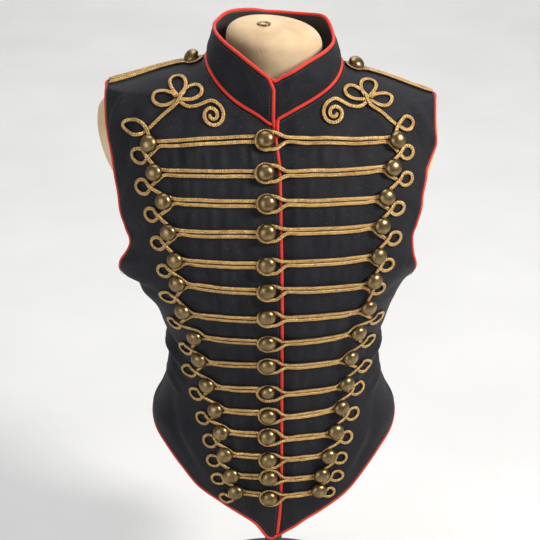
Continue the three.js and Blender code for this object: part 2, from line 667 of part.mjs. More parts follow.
// Half a ring, from the ring's far point back to where the cord leaves it for the crossing.
// Up is 1 for the upper half and -1 for the lower one.
function halfRing({ middle, crossing, radius, lift = 0 }, up) {
  const [across, above] = [middle[0] - crossing[0], middle[1] - crossing[1]];
  const axis = Math.atan2(above, across);
  const open = Math.acos(radius / Math.hypot(across, above));
  return along(ARC_STEPS).map((t) => {
    const angle = axis + up * (Math.PI - open) * t;
    const rise = up > 0 && t === 1 ? CROSSING_RISE : 0;
    return [middle[0] + radius * Math.cos(angle), middle[1] + radius * Math.sin(angle), lift + rise];
  });
}

// The ring above the first row, one below each row's button and one at the last button's foot
function ringsOf(side) {
  const ends = rowsOf(side);
  const lowest = ends.at(-1);
  const middle = ends.slice(0, -1).map((upper, i) => {
    const lower = ends[i + 1];
    const [across, above] = [(upper.reach + lower.reach) / 2 - upper.ring,
      (upper.button + lower.button) / 2 - upper.ringZ];
    const share = RING.offset / Math.hypot(across, above);
    return {
      middle: [upper.ring, upper.ringZ],
      crossing: [upper.ring + share * across, upper.ringZ + share * above],
      radius: RING.radius,
    };
  });
  const last = {
    middle: [lowest.ring, lowest.ringZ],
    crossing: [lowest.reach - LAST_RING.inward, lowest.button - LAST_RING.below],
    radius: LAST_RING.radius,
  };
  return [side < 0 ? TOP_RINGS.right : TOP_RINGS.left, ...middle, last];
}

// Half of a row's inner end, up to its turning point: a tight turn on the right side, a loop
// round the centre button on the left side
function innerEnd(side, index, up) {
  const row = rowsOf(side)[index];
  if (side < 0) {
    const turning = -CENTRE_BUTTON_X + LOOP_RADIUS + CORD_WIDTH + 3 * SEAM_GAP;
    const stops = [[turning, rowLevel(row, turning)]];
    return { inner: turning + 0.75 * CORD_WIDTH, stops };
  }
  const arc = along(ARC_STEPS).map((t) => radians(mix(50, 180, t)));
  const level = rows[index].loop;
  const loop = arc.map((a) => (
    [CENTRE_BUTTON_X + LOOP_RADIUS * Math.cos(a), level + up * LOOP_RADIUS * Math.sin(a), LEG_RISE]));
  return { inner: LEG.from, stops: [[LEG.reach, level + up * LEG.beside, LEG_RISE], ...loop] };
}

// Beside each button the cord bends between its row and the crossing
function bend(row, spacing, up) {
  return [row.reach - BEND.inward, row.end + up * BEND.beside * spacing, up > 0 ? CROSSING_RISE : 0];
}

// Each stretch begins where the one before it ends
function cordStretches(side) {
  const rings = ringsOf(side);
  const ends = rowsOf(side);
  const link = [mix(TREFOIL.reach, rings[0].crossing[0], 0.5), mix(TREFOIL.z, rings[0].crossing[1], 0.5)];
  const stretches = [[[TREFOIL.reach, TREFOIL.z], link, ...halfRing(rings[0], -1).toReversed()]];
  ends.forEach((row, i) => {
    const next = Math.min(i, ends.length - 2);
    const spacing = ends[next].button - ends[next + 1].button;
    const halfRow = (up, ring) => {
      const { inner, stops } = innerEnd(side, i, up);
      const rise = (ring.lift ?? 0) + (up > 0 ? CROSSING_RISE : 0);
      return [...halfRing(ring, up), [...ring.crossing, rise], bend(row, spacing, up),
        ...rowCord(row, inner, up * BESIDE), ...stops];
    };
    stretches.push(halfRow(1, rings[i]), halfRow(-1, rings[i + 1]).toReversed());
  });
  stretches.push([...halfRing(rings.at(-1), 1), [...rings.at(-1).crossing, CROSSING_RISE]]);
  return stretches;
}

function runningCord(side) {
  const stretches = cordStretches(side);
  const route = [stretches[0][0], ...stretches.flatMap((stops) => stops.slice(1))];
  const rings = sectionsAlong(route.map(lay(side, BRAID_LIFT)), cordProfile);
  let start = 0;
  return stretches.map((stops) => {
    const end = start + stops.length - 1;
    const body = loft(rings.slice(start, end + 1));
    start = end;
    return body;
  });
}

// Trefoil beside the collar: three petals, and a cord that leaves below them into a spiral.
// Places are [outward, up] on the cloth from the petals' crossing.
const TREFOIL = { reach: 103, z: 740, narrowing: 0.93 };
const TREFOIL_LIFT = BRAID_LIFT + 0.2;
const PETAL_STEPS = 3; // for each half of a petal
const petals = [
  { axis: 155, length: 27, width: 15 },
  { axis: 88, length: 29, width: 17 },
  { axis: 2, length: 31, width: 15 },
];
const PETAL_WAIST = 0.55; // a petal's width where it leaves the crossing, as a share of its widest
const TAIL = [[4, -1], [-8, -9], [-22, -6]]; // from the crossing to the spiral
const SPIRAL = { inward: 37, right: -17, left: -12, outer: 13.5, inner: 3.4, turns: 1.6, start: 80 };

function layTrefoil(side) {
  return ([outward, up]) => {
    const reach = TREFOIL.reach + TREFOIL.narrowing * outward;
    return onFront(side * reach, climb(side * reach, TREFOIL.z, up), TREFOIL_LIFT);
  };
}

function petalRoute({ axis, length, width }) {
  const turnBy = radians(axis);
  return along(2 * PETAL_STEPS).map((t) => {
    const s = t * 2 * Math.PI;
    const far = (length * (1 - Math.cos(s))) / 2;
    const aside = (-width / 1.7) * Math.sin(s) * mix(PETAL_WAIST, 1, far / length);
    return [
      far * Math.cos(turnBy) - aside * Math.sin(turnBy),
      far * Math.sin(turnBy) + aside * Math.cos(turnBy),
    ];
  });
}

function spiralRoute(side) {
  const { inward, right, left, outer, inner, turns, start } = SPIRAL;
  const level = side < 0 ? right : left;
  return along(Math.round(turns * 8)).map((t) => {
    const angle = radians(start) + t * turns * 2 * Math.PI;
    const radius = mix(outer, inner, t);
    return [radius * Math.cos(angle) - inward, radius * Math.sin(angle) + level];
  });
}

function trefoil(side) {
  const place = layTrefoil(side);
  const tubes = petals.flatMap((petal) => sweepInTwo(petalRoute(petal).map(place), cordProfile, PETAL_STEPS));
  return [...tubes, sweep([...TAIL, ...spiralRoute(side)].map(place), cordProfile)];
}

const braid = (side) => join([...runningCord(side), ...trefoil(side)]);

// Shoulder cords lie on the shoulder seam and end in a loop under a button
const SHOULDER_CORD = { from: 88, to: 185, lift: 1, steps: 6 };
const SHOULDER_BUTTON_REACH = 92;

function onRidge(side, reach, lift) {
  return onSurface((side * Math.PI) / 2, ridgeLevel(reach), lift);
}

function shoulderCord(side) {
  const { from, to, lift, steps } = SHOULDER_CORD;
  return sweep(along(steps).map((t) => onRidge(side, mix(from, to, t), lift)), pairProfile);
}

// Buttons: a dome with a flat back

function button({ point, out }) {
  const sideways = new THREE.Vector3(1, 0, 0).addScaledVector(out, -out.x).normalize();
  const upwards = new THREE.Vector3().crossVectors(out, sideways);
  const circle = (radius, height) => Array.from({ length: BUTTON_SIDES }, (_, i) => {
    const a = (2 * Math.PI * (i + 0.5)) / BUTTON_SIDES;
    return point.clone().addScaledVector(sideways, radius * Math.cos(a))
      .addScaledVector(upwards, radius * Math.sin(a)).addScaledVector(out, height);
  });
  const shoulder = circle(BUTTON_SHOULDER.radius, BUTTON_SHOULDER.height);
  const points = [...circle(BUTTON_RADIUS, 0), ...shoulder];
  const apex = points.push(point.clone().addScaledVector(out, BUTTON_HEIGHT)) - 1;
  const triangles = [];
  for (let i = 0; i < BUTTON_SIDES; i += 1) {
    const j = (i + 1) % BUTTON_SIDES;
    triangles.push(...quad(i, j, BUTTON_SIDES + j, BUTTON_SIDES + i));
    triangles.push([BUTTON_SIDES + i, BUTTON_SIDES + j, apex]);
    if (i > 0 && j > 0) triangles.push([0, j, i]);
  }
  return closedGeometry(points, triangles);
}

// Dress form and stand

const FORM_SIDES = 20;
const FORM_SHIFT = 7;

function dressForm() {
  return loft(formSections.map((ring) => Array.from({ length: FORM_SIDES }, (_, i) => {
    const point = ringPoint(ring, (2 * Math.PI * i) / FORM_SIDES - Math.PI, ring.z);
    point.z -= (tilt(ring.z) + NECK_TILT * ease(ring.z, 765, 806)) * point.x;
    point.x -= FORM_SHIFT * ease(ring.z, 600, 680) * (1 - ease(ring.z, 730, 760));
    return point;
  })));
}

function stand() {
  const poleTop = FORM_BOTTOM - SEAM_GAP;
  const profile = [
    [0, 0], [BASE_RADIUS, 0], [BASE_RADIUS, BASE_THICKNESS - 5], [BASE_RADIUS - 6, BASE_THICKNESS],
    [24, BASE_THICKNESS + 4], [SOCKET.radius, BASE_THICKNESS + 10], [SOCKET.radius, SOCKET.height],
    [POLE_RADIUS, SOCKET.height + 4], [POLE_RADIUS, poleTop], [0, poleTop],
  ].map(([radius, height]) => new THREE.Vector2(radius, height));
  return new THREE.LatheGeometry(profile, 18).rotateX(Math.PI / 2);
}

// The model

const group = new THREE.Group();

function add(name, geometry, material) {
  const mesh = new THREE.Mesh(geometry, material);
  mesh.name = name;
  group.add(mesh);
}

add('stand', stand(), paintedSteel);
add('dress_form', dressForm(), stockinette);
add('front_right', wall(rightGrid, CLOTH), cloth);
add('front_left', wall(leftGrid, CLOTH), cloth);
add('back', wall(back, CLOTH), cloth);
add('collar', wall(collar, COLLAR_CLOTH), cloth);
add('edge_piping', edgePiping(), pipingRed);
add('armhole_piping_right', armholePiping(lastColumn(rightGrid), firstColumn(back), -1), pipingRed);
add('armhole_piping_left', armholePiping(lastColumn(leftGrid), lastColumn(back), 1), pipingRed);

const sides = [
  { name: 'right', side: -1 },
  { name: 'left', side: 1 },
];
for (const { name, side } of sides) {
  add(`braid_${name}`, braid(side), gold);
  add(`shoulder_cord_${name}`, shoulderCord(side), gold);
  const onCord = SHOULDER_CORD.lift + CORD_HEIGHT + SEAM_GAP;
  add(`button_shoulder_${name}`, button(onRidge(side, SHOULDER_BUTTON_REACH, onCord)), brass);
}

rows.forEach((row, i) => {
  const number = String(i + 1).padStart(2, '0');
  const centre = onFront(CENTRE_BUTTON_X, row.button, BUTTON_LIFT + LEG_RISE - CROSSING_RISE);
  add(`button_centre_${number}`, button(centre), brass);
  for (const { name, side } of sides) {
    const end = rowsOf(side)[i];
    add(`button_${name}_${number}`, button(onFront(side * end.reach, end.button, BUTTON_LIFT)), brass);
  }
});

export default group;
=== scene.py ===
"""Hussar waistcoat of black cloth on a limbless dress form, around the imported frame.

The front faces -Y and +X is the wearer's left. Tables and lengths are in millimetres, and
every mesh is scaled to metres when it is made.
"""
import math

import bpy
import numpy as np
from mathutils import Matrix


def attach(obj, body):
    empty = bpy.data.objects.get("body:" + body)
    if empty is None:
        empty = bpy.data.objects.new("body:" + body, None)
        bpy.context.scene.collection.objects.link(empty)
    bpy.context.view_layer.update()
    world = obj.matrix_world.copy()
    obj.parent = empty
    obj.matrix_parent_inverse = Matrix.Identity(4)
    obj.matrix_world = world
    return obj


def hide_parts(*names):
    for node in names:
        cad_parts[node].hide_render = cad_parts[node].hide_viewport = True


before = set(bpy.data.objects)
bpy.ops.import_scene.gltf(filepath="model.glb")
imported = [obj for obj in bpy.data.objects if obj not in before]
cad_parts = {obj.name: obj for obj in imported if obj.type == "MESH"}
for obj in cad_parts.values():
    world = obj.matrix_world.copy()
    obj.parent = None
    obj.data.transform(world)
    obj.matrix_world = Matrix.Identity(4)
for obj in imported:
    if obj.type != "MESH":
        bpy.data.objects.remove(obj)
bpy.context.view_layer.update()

MM = 0.001
rng = np.random.default_rng(1811)

CLOTH = 2.0
COLLAR_CLOTH = 2.2
AXIS_Y = 12.0
UNDERARM = 512.0
YOKE = 700.0
NECK_HALF = 78.0
UNDERLAP = 12.0
LAP_INSET = 3.0
LAP_EASED = 26.0
CORD_WIDTH = 4.35
CORD_HEIGHT = 3.0
BRAID_LIFT = 0.2
BUTTON_RADIUS = 10.0
BUTTON_HEIGHT = 7.5
BUTTON_LIFT = 5.6
CENTRE_LIFT = 6.6
SMALL_BUTTON_ROW = 9
SMALL_BUTTON = {"radius": 8.6, "lean": (0.16, 0.03)}
LOOP_RADIUS = 10.8
LOOP_HIGH = 9.0
LOW_LOOP_HIGH = 10.3
LEG_RISE = 2.2
FORM_BOTTOM = 328.0
BASE_RADIUS = 150.0
POLE_RADIUS = 11.0
WORN_TILT = math.tan(math.radians(2.5))
NECK_TILT = 0.06
FLARE = {"out": 17, "z": 530, "spread": 32, "before_side": math.radians(25), "width": math.radians(16)}
FRONT_NECK = {"z": 722, "slope": 0.5, "curl": 9}
RIGHT_NECK_DROP = 5
NECK_DIP = 5
SHOULDERS = {
    -1: {"drop": 5.5, "out": 3.5, "roll": 2.9, "lean": 0.42},
    1: {"drop": 2.5, "out": -3.2, "roll": 0.6, "lean": 0.08},
}
SHOULDER_FROM = {"reach": (110, 186), "z": (660, 738)}
ROLL = {"reach": (78, 175), "z": (728, 744), "near": 9, "width": 2.6}
BACK_NECK = {"z": 774, "drop": 4}
COLLAR_MOUTH = {"half_width": 69, "y": 16, "front": 84, "back": 54}
SIDES = ((-1, "right"), (1, "left"))

# Outer surface: level, half width, depth to the front and to the back, squareness
SECTIONS = np.array([
    (195, 122, 117, 98, 2.3),
    (250, 137, 119, 98, 2.3),
    (285, 149, 119, 98, 2.3),
    (322, 153, 118, 95, 2.3),
    (350, 141, 115, 85, 2.3),
    (380, 132, 113, 77, 2.3),
    (425, 131, 116, 77, 2.3),
    (455, 137, 121, 82, 2.3),
    (485, 146, 129, 88, 2.3),
    (512, 160, 132, 92, 2.35),
    (545, 177, 134, 95, 2.4),
    (580, 186, 132, 97, 2.4),
    (620, 194, 124, 97, 2.4),
    (660, 198, 111, 94, 2.4),
    (700, 197, 92, 86, 2.4),
    (726, 193, 76, 74, 2.4),
    (741, 188, 67, 66, 2.3),
    (743, 180.5, 65.8, 64.7, 2.3),
    (756, 132, 58, 56, 2.2),
    (770, 78, 52, 50, 2.1),
    (785, 60, 50, 49, 2.0),
])

# Armhole: level, degrees open before the side line on the right and left front, and behind it
ARMHOLE = np.array([
    (512, 0, 0, 0),
    (522, 14, 14, 10),
    (545, 26, 27, 18),
    (575, 28, 32.5, 21),
    (610, 28, 35, 23),
    (655, 25.5, 32.5, 22.5),
    (700, 18.5, 22, 18),
])
OPEN_RIGHT, OPEN_LEFT, OPEN_BACK = 1, 2, 3

# Hem: degrees from the middle, level
FRONT_HEM = np.array([(0, 195), (11, 219), (24, 236), (38, 254), (48, 281), (61, 303), (90, 320)])
BACK_HEM = np.array([(0, 312), (90, 320)])
RIGHT_HEM_RISE = 8
HEM_TURN = 260

# The right front's edge: level, distance past the middle
FRONT_EDGE = np.array([
    (200, 3), (240, 6.5), (300, 8), (500, 8), (620, 6.2), (675, 5), (690, 3.2), (706, 0.6), (724, -2.4),
])

# The collar's top edge: degrees from the middle of the front, level
COLLAR_TOP = np.array([
    (0, 767), (10, 775), (23, 784), (35, 791), (50, 796), (67, 799), (90, 801), (115, 806), (180, 812),
])

# How the collar's top edge waves at the back: distance from the middle, rise
COLLAR_WAVE = np.array([(-69, 0), (-55, 7), (-28, 3.5), (0, -2.2), (22, -1.6), (40, 0.4), (59, 3.8), (69, 0)])
COLLAR_CORNER = {"drop": 9.5, "from": 0.5, "to": 8}

# Dress form: level, half width, depth to the front and to the back, squareness
FORM = np.array([
    (328, 137, 106, 83, 2.2),
    (350, 130, 104, 75, 2.2),
    (380, 122, 103, 67, 2.2),
    (425, 120, 105, 67, 2.2),
    (455, 126, 110, 72, 2.2),
    (485, 133, 118, 78, 2.2),
    (512, 140, 121, 82, 2.1),
    (545, 149, 122, 85, 2.1),
    (580, 162, 119, 86, 2.0),
    (620, 179, 111, 85, 2.0),
    (660, 194, 97, 82, 1.9),
    (690, 198, 82, 77, 1.8),
    (706, 196, 74, 70, 1.8),
    (720, 186, 66, 64, 1.9),
    (733, 165, 58, 57, 1.9),
    (744, 128, 53, 52, 1.9),
    (755, 86, 49, 48, 2.0),
    (765, 62, 48, 47, 2.0),
    (785, 55, 49, 46, 2.0),
    (806, 54, 49, 46, 2.0),
    (812, 48, 43, 41, 2.0),
])
FORM_SHIFT = 7
NECK_ROUNDED = 792.0
NECK_TOP = 817.0

# Rows of braid at the middle: level of the loop, level of its button, place across
ROWS = [
    (704.2, 705.3, -9.2),
    (672.2, 673, -9.2),
    (641.2, 642.2, -7.4),
    (609.8, 611.5, -7.4),
    (573.4, 576, -7.4),
    (541.6, 545, -7.4),
    (508, 512, -7.4),
    (473.2, 477, -7.2),
    (439.7, 442, -7.2),
    (400.4, 404.5, -7.0),
    (369.5, 369.8, -6.6),
    (341.4, 343, -7.0),
    (310.4, 313.3, -6.0),
    (287.2, 287.8, -5.2),
    (257.4, 259, -5.2),
]

# The rows on each side: level of the cords at the middle and at the side button, reach and level
# of that button, reach and level of the middle of the ring below it
RIGHT_ROWS = [
    (706.3, 691.8, 137, 692.5, 149, 678.5),
    (672, 665.5, 131.5, 665, 146, 648),
    (641.5, 638, 121, 637.5, 137, 620),
    (609, 605, 116, 605, 130, 588.5),
    (574, 572, 109, 574, 123, 556),
    (542, 544, 107, 545, 118.5, 520.5),
    (506, 503, 101.5, 507.5, 115, 478.5),
    (475, 472.5, 89, 471.5, 103, 443.5),
    (440, 434, 85, 437.5, 99, 413),
    (405, 402, 76.5, 403.5, 92, 384),
    (373, 371, 67.5, 371, 84.5, 355.5),
    (344, 344, 61.5, 343.5, 76, 329.5),
    (315, 315.5, 57.5, 316, 72, 303.5),
    (287, 286.5, 50, 288.5, 67, 278.5),
    (261, 263, 45, 265, 58, 253),
]
LEFT_ROWS = [
    (706, 705.5, 135.5, 704.5, 148.5, 690.5),
    (673, 675.5, 130.5, 675.5, 147, 660.5),
    (642.5, 643, 123.5, 644, 137.5, 628),
    (612, 611.5, 118.5, 612, 134.5, 593.5),
    (576, 576.5, 115, 578, 127, 562.5),
    (544, 542, 111, 548, 118, 533.5),
    (507, 507, 105.5, 512.5, 119.5, 483.5),
    (473, 476, 95, 476.5, 110.5, 451),
    (438, 436, 87, 440, 106, 415.5),
    (399, 400, 83.5, 403.5, 99.5, 388),
    (367, 371.5, 78, 371.5, 93.5, 358),
    (338.5, 340, 72.5, 343, 86.5, 331.5),
    (311, 314, 64.5, 313, 80, 305.5),
    (283.5, 285, 56.5, 288, 75.5, 281),
    (259, 263, 53.5, 266, 67, 258),
]


# Small maths


def curve(table, column, at):
    """Smooth curve through a table's column that never overshoots its rows."""
    keys, values = table[:, 0], table[:, column]
    rise = np.diff(values) / np.diff(keys)
    before, after = rise[:-1], rise[1:]
    total = np.where(before + after == 0, 1, before + after)
    slope = np.empty_like(values, dtype=float)
    slope[0], slope[-1] = rise[0], rise[-1]
    slope[1:-1] = np.where(before * after <= 0, 0, 2 * before * after / total)
    x = np.clip(np.asarray(at, float), keys[0], keys[-1])
    i = np.clip(np.searchsorted(keys, x, side="right") - 1, 0, len(keys) - 2)
    width = keys[i + 1] - keys[i]
    t = (x - keys[i]) / width
    return (
        (2 * t**3 - 3 * t**2 + 1) * values[i]
        + (t**3 - 2 * t**2 + t) * width * slope[i]
        + (3 * t**2 - 2 * t**3) * values[i + 1]
        + (t**3 - t**2) * width * slope[i + 1]
    )


def ease(value, start, end):
    t = np.clip((np.asarray(value, float) - start) / (end - start), 0, 1)
    return t * t * (3 - 2 * t)


def mix(a, b, t):
    return a + (b - a) * t


def unit(v):
    return v / np.maximum(np.linalg.norm(v, axis=-1, keepdims=True), 1e-9)


def bell(value, width):
    return np.exp(-((value / width) ** 2))


def distances(path):
    """How far along a path each of its points is."""
    return np.concatenate([[0], np.cumsum(np.linalg.norm(np.diff(path, axis=0), axis=1))])


def heading(path, loop=False):
    """From the point before to the point after, at each point of a path."""
    if loop:
        return np.roll(path, -1, axis=0) - np.roll(path, 1, axis=0)
    return np.concatenate([path[1:], path[-1:]]) - np.concatenate([path[:1], path[:-1]])

# The worn surface


def ring_point(table, angle, z):
    half, front, back, power = (curve(table, column, z) for column in (1, 2, 3, 4))
    sine, cosine = np.sin(angle), np.cos(angle)
    x = half * np.sign(sine) * np.abs(sine) ** (2 / power)
    y = AXIS_Y + np.where(cosine > 0, -front, back) * np.abs(cosine) ** (2 / power)
    return np.stack(np.broadcast_arrays(x, y, np.asarray(z, float)), -1)


def tilt(z):
    return WORN_TILT * ease(z, 600, 730)


def of_shoulder(x, key):
    """The value of the shoulder that each point is on."""
    return np.where(x < 0, SHOULDERS[-1][key], SHOULDERS[1][key])


def shoulder_roll(point):
    """The seam along the top of the shoulder leans forward towards the arm."""
    near = (point[..., 1] - AXIS_Y) / ROLL["near"]
    share = ease(np.abs(point[..., 0]), *ROLL["reach"]) * ease(point[..., 2], *ROLL["z"])
    return of_shoulder(point[..., 0], "roll") * share * np.tanh(near) * bell(near / ROLL["width"], 1)


def surface(angle, z):
    """Points of the worn cloth without its creases."""
    angle, z = np.broadcast_arrays(np.asarray(angle, float), np.asarray(z, float))
    point = ring_point(SECTIONS, angle, z)
    x = point[..., 0].copy()
    near_arm = ease(np.abs(x), *SHOULDER_FROM["reach"]) * ease(z, *SHOULDER_FROM["z"])
    point[..., 2] += shoulder_roll(point) - of_shoulder(x, "drop") * near_arm
    point[..., 0] += np.sign(x) * of_shoulder(x, "out") * near_arm
    around = (angle + math.pi / 2 - FLARE["before_side"]) / FLARE["width"]
    up = (z - FLARE["z"]) / FLARE["spread"]
    point[..., 0] -= FLARE["out"] * np.exp(-(around**2) - up**2)
    point[..., 2] -= tilt(z) * point[..., 0]
    return point


def on_surface(angle, z, lift=0.0):
    """Points on the worn surface moved out by a lift, and the outward directions."""
    step = math.radians(1.5)
    across = surface(angle + step, z) - surface(angle - step, z)
    up = surface(angle, z + 1) - surface(angle, z - 1)
    out = unit(np.cross(across, up))
    return surface(angle, z) + out * np.asarray(lift, float)[..., None], out


def angle_at(x, z):
    ratio = np.clip(np.abs(x) / curve(SECTIONS, 1, z), 0, 1)
    return np.sign(x) * np.arcsin(ratio ** (curve(SECTIONS, 4, z) / 2))


def on_front(x, z, lift=0.0):
    """Points on the cloth of the fronts, creases included."""
    angle = angle_at(x, z)
    return on_surface(angle, z, np.asarray(lift, float) + folds(angle, z))


def ridge_level(reach):
    low, high = np.full(np.shape(reach), 726.0), np.full(np.shape(reach), 785.0)
    for _ in range(40):
        middle = (low + high) / 2
        wider = curve(SECTIONS, 1, middle) > reach
        low, high = np.where(wider, middle, low), np.where(wider, high, middle)
    return (low + high) / 2


def front_neck(reach, side):
    drop = 0
    if side < 0:
        drop = RIGHT_NECK_DROP * np.sin(math.pi * np.minimum(reach / 70, 1)) + NECK_DIP * bell(reach - 2, 12)
    rise = FRONT_NECK["slope"] * reach + FRONT_NECK["curl"] * (reach / NECK_HALF) ** 6
    return FRONT_NECK["z"] + rise - drop


def back_neck(reach):
    return BACK_NECK["z"] - BACK_NECK["drop"] * (reach / NECK_HALF) ** 2


# Creases: degrees from the middle of the front and level at both ends, depth out of the cloth,
# half width. Negative degrees are the wearer's right; beyond 90 lies the back.
CREASES = np.array([
    # upper chest and shoulders
    (-56, 668, -50, 722, -2.2, 7),
    (-50, 672, -43, 726, 1.5, 6),
    (-66, 690, -58, 735, 1.8, 7),
    (-43, 700, -33, 735, -1.5, 6),
    (-15, 690, -10, 722, -1.7, 5),
    (-21, 688, -18, 730, 1.4, 6),
    (-8, 690, -6, 716, 1.1, 4),
    (-28, 686, -27, 720, -1.2, 5),
    (9, 706, 5, 690, -1.8, 4),
    (14, 716, 13, 686, 1.0, 5),
    (58, 668, 50, 724, -1.7, 8),
    (66, 690, 56, 738, 1.7, 8),
    (38, 704, 30, 738, 1.2, 8),
    (25, 716, 20, 690, -0.9, 6),
    # beside the armholes
    (-66, 560, -50, 600, -2.0, 8),
    (-70, 535, -50, 560, 1.9, 8),
    (-62, 610, -50, 640, 1.4, 8),
    (-75, 505, -52, 520, -2.2, 7),
    (64, 560, 50, 598, -1.7, 8),
    (70, 532, 52, 556, 1.7, 8),
    (58, 606, 48, 640, 1.2, 8),
    (74, 505, 52, 522, -1.9, 8),
    # the waist, at both sides
    (-92, 446, -55, 430, -2.1, 6),
    (-88, 424, -50, 412, 1.9, 6),
    (-90, 402, -52, 396, -2.3, 6),
    (-84, 382, -58, 374, 1.6, 6),
    (92, 448, 56, 432, -1.9, 6),
    (86, 426, 52, 414, 1.8, 6),
    (92, 403, 50, 393, -2.2, 6),
    (84, 380, 60, 372, 1.5, 6),
    # the points of the fronts
    (-62, 352, -40, 300, -1.5, 9),
    (-46, 340, -30, 285, 1.2, 9),
    (-28, 262, -12, 232, 1.0, 8),
    (60, 350, 42, 298, -1.4, 9),
    (48, 336, 32, 282, 1.1, 9),
    (27, 262, 13, 230, -0.9, 8),
    # the back
    (178, 420, 130, 404, -2.4, 7),
    (184, 398, 236, 388, -2.2, 7),
    (150, 384, 205, 376, 1.9, 7),
    (128, 446, 172, 452, 1.8, 8),
    (190, 470, 232, 452, -1.8, 8),
    (118, 505, 150, 470, -2.2, 9),
    (242, 508, 212, 474, -2.0, 9),
    (122, 540, 140, 612, 1.9, 10),
    (236, 545, 220, 615, 1.7, 10),
    (164, 700, 150, 620, -1.5, 10),
    (198, 700, 212, 628, -1.4, 10),
    (170, 745, 186, 742, -1.5, 6),
    (150, 335, 160, 318, 1.4, 9),
    (205, 340, 198, 318, 1.5, 9),
    (180, 350, 179, 316, -1.3, 8),
])
ARC = 2.6  # millimetres of cloth in a degree
CREASE_DEPTH = 2.8
CREASED = {"from": (205, 235), "to": (735, 750)}  # levels over which the creases come and go


def pucker_table():
    """Small upright puckers between the rows, where the braid draws the cloth in."""
    found = []
    for rows, side, depth, spacing in ((RIGHT_ROWS, -1, 3.6, 12), (LEFT_ROWS, 1, 2.2, 15)):
        for upper, lower in zip(rows[:-1], rows[1:]):
            outer = (upper[2] + lower[2]) / 2 - 12
            x = 24.0
            while x < outer:
                share = x / outer
                level = mix(upper[0] + lower[0], upper[1] + lower[1], share**1.5) / 2
                high = 0.3 * (upper[0] - lower[0])
                lean = rng.uniform(-0.16, 0.16)
                height = depth * rng.uniform(0.35, 1.0) * rng.choice((-1, 1, 1))
                found.append((side * x, level, high, lean, height, rng.uniform(2.2, 4.2)))
                x += spacing * rng.uniform(0.7, 1.35)
    return np.array(found)


PUCKERS = pucker_table()


def folds(angle, z):
    """How far the creases and puckers move the cloth out."""
    turned = np.mod(np.degrees(angle) + 100, 360) - 100
    u, w = turned * ARC, np.asarray(z, float)
    total = np.zeros(np.broadcast(u, w).shape)
    for start, low, end, high, depth, width in CREASES:
        a, b = np.array([start * ARC, low]), np.array([end * ARC, high])
        span = b - a
        t = np.clip(((u - a[0]) * span[0] + (w - a[1]) * span[1]) / (span @ span), 0, 1)
        bow = 5 * np.sin(math.pi * t)
        away = np.hypot(u - a[0] - span[0] * t, w - a[1] - span[1] * t - bow)
        along = 0.35 + 0.65 * np.sin(math.pi * np.clip(t, 0.08, 0.92))
        total += CREASE_DEPTH * depth * bell(away, width) * along
    x = surface(angle, z)[..., 0]
    front = np.cos(angle) > 0
    for place, level, high, lean, height, width in PUCKERS:
        near = (np.abs(w - level) < 3 * high) & (np.abs(x - place) < 25)
        if not near.any():
            continue
        aside = x - place - lean * (w - level)
        total += np.where(near & front, height * bell(aside, width) * bell(w - level, high), 0)
    return total * ease(z, *CREASED["from"]) * (1 - ease(z, *CREASED["to"]))


# Meshes


def new_object(name, points, faces, materials, uv=None, face_slots=None):
    """A smooth mesh from points in millimetres. uv holds one pair for each point."""
    mesh = bpy.data.meshes.new(name)
    mesh.from_pydata((np.asarray(points, float) * MM).tolist(), [], [list(f) for f in faces])
    mesh.validate()
    if uv is not None:
        layer = mesh.uv_layers.new(name="cut")
        corner = np.empty(len(mesh.loops), dtype=np.int32)
        mesh.loops.foreach_get("vertex_index", corner)
        layer.data.foreach_set("uv", np.asarray(uv, np.float32)[corner].ravel())
    for material in materials:
        mesh.materials.append(material)
    if face_slots is not None and len(face_slots) == len(mesh.polygons):
        mesh.polygons.foreach_set("material_index", np.asarray(face_slots, np.int32))
    mesh.polygons.foreach_set("use_smooth", [True] * len(mesh.polygons))
    mesh.update()
    piece = bpy.data.objects.new(name, mesh)
    bpy.context.scene.collection.objects.link(piece)
    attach(piece, "root")
    return piece


def grid_faces(high, wide, start=0, wrap=False):
    rows = np.arange(high - 1)[:, None] * wide
    columns = np.arange(wide if wrap else wide - 1)[None, :]
    a, b = rows + columns, rows + (columns + 1) % wide
    return (np.stack([a, b, b + wide, a + wide], -1).reshape(-1, 4) + start).tolist()


def metric_uv(points):
    """Distances along the rows and columns of a grid, in metres."""
    across = np.linalg.norm(np.diff(points, axis=1), axis=-1)
    up = np.linalg.norm(np.diff(points, axis=0), axis=-1)
    u = np.pad(np.cumsum(across, axis=1), ((0, 0), (1, 0)))
    v = np.pad(np.cumsum(up, axis=0), ((1, 0), (0, 0)))
    return np.stack([u, v], -1) * MM


def shell(node, points, out, thickness=CLOTH):
    """A node's wall of cloth, from a grid of outer points; the inside is the lining."""
    high, wide = points.shape[:2]
    count = high * wide
    inner = points - out * thickness
    outside = grid_faces(high, wide)
    inside = [f[::-1] for f in grid_faces(high, wide, count)]
    rim = [(0, c) for c in range(wide - 1)] + [(r, wide - 1) for r in range(high - 1)]
    rim += [(high - 1, c) for c in range(wide - 1, 0, -1)] + [(r, 0) for r in range(high - 1, 0, -1)]
    index = [r * wide + c for r, c in rim]
    edge = [(b, a, a + count, b + count) for a, b in zip(index, index[1:] + index[:1])]
    uv = metric_uv(points).reshape(-1, 2)
    slots = [0] * len(outside) + [1] * len(inside) + [0] * len(edge)
    both = np.concatenate([points.reshape(-1, 3), inner.reshape(-1, 3)])
    piece = new_object("cloth_" + node, both, outside + inside + edge, [wool, lining],
                       np.concatenate([uv, uv]), slots)
    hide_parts(node)
    return piece


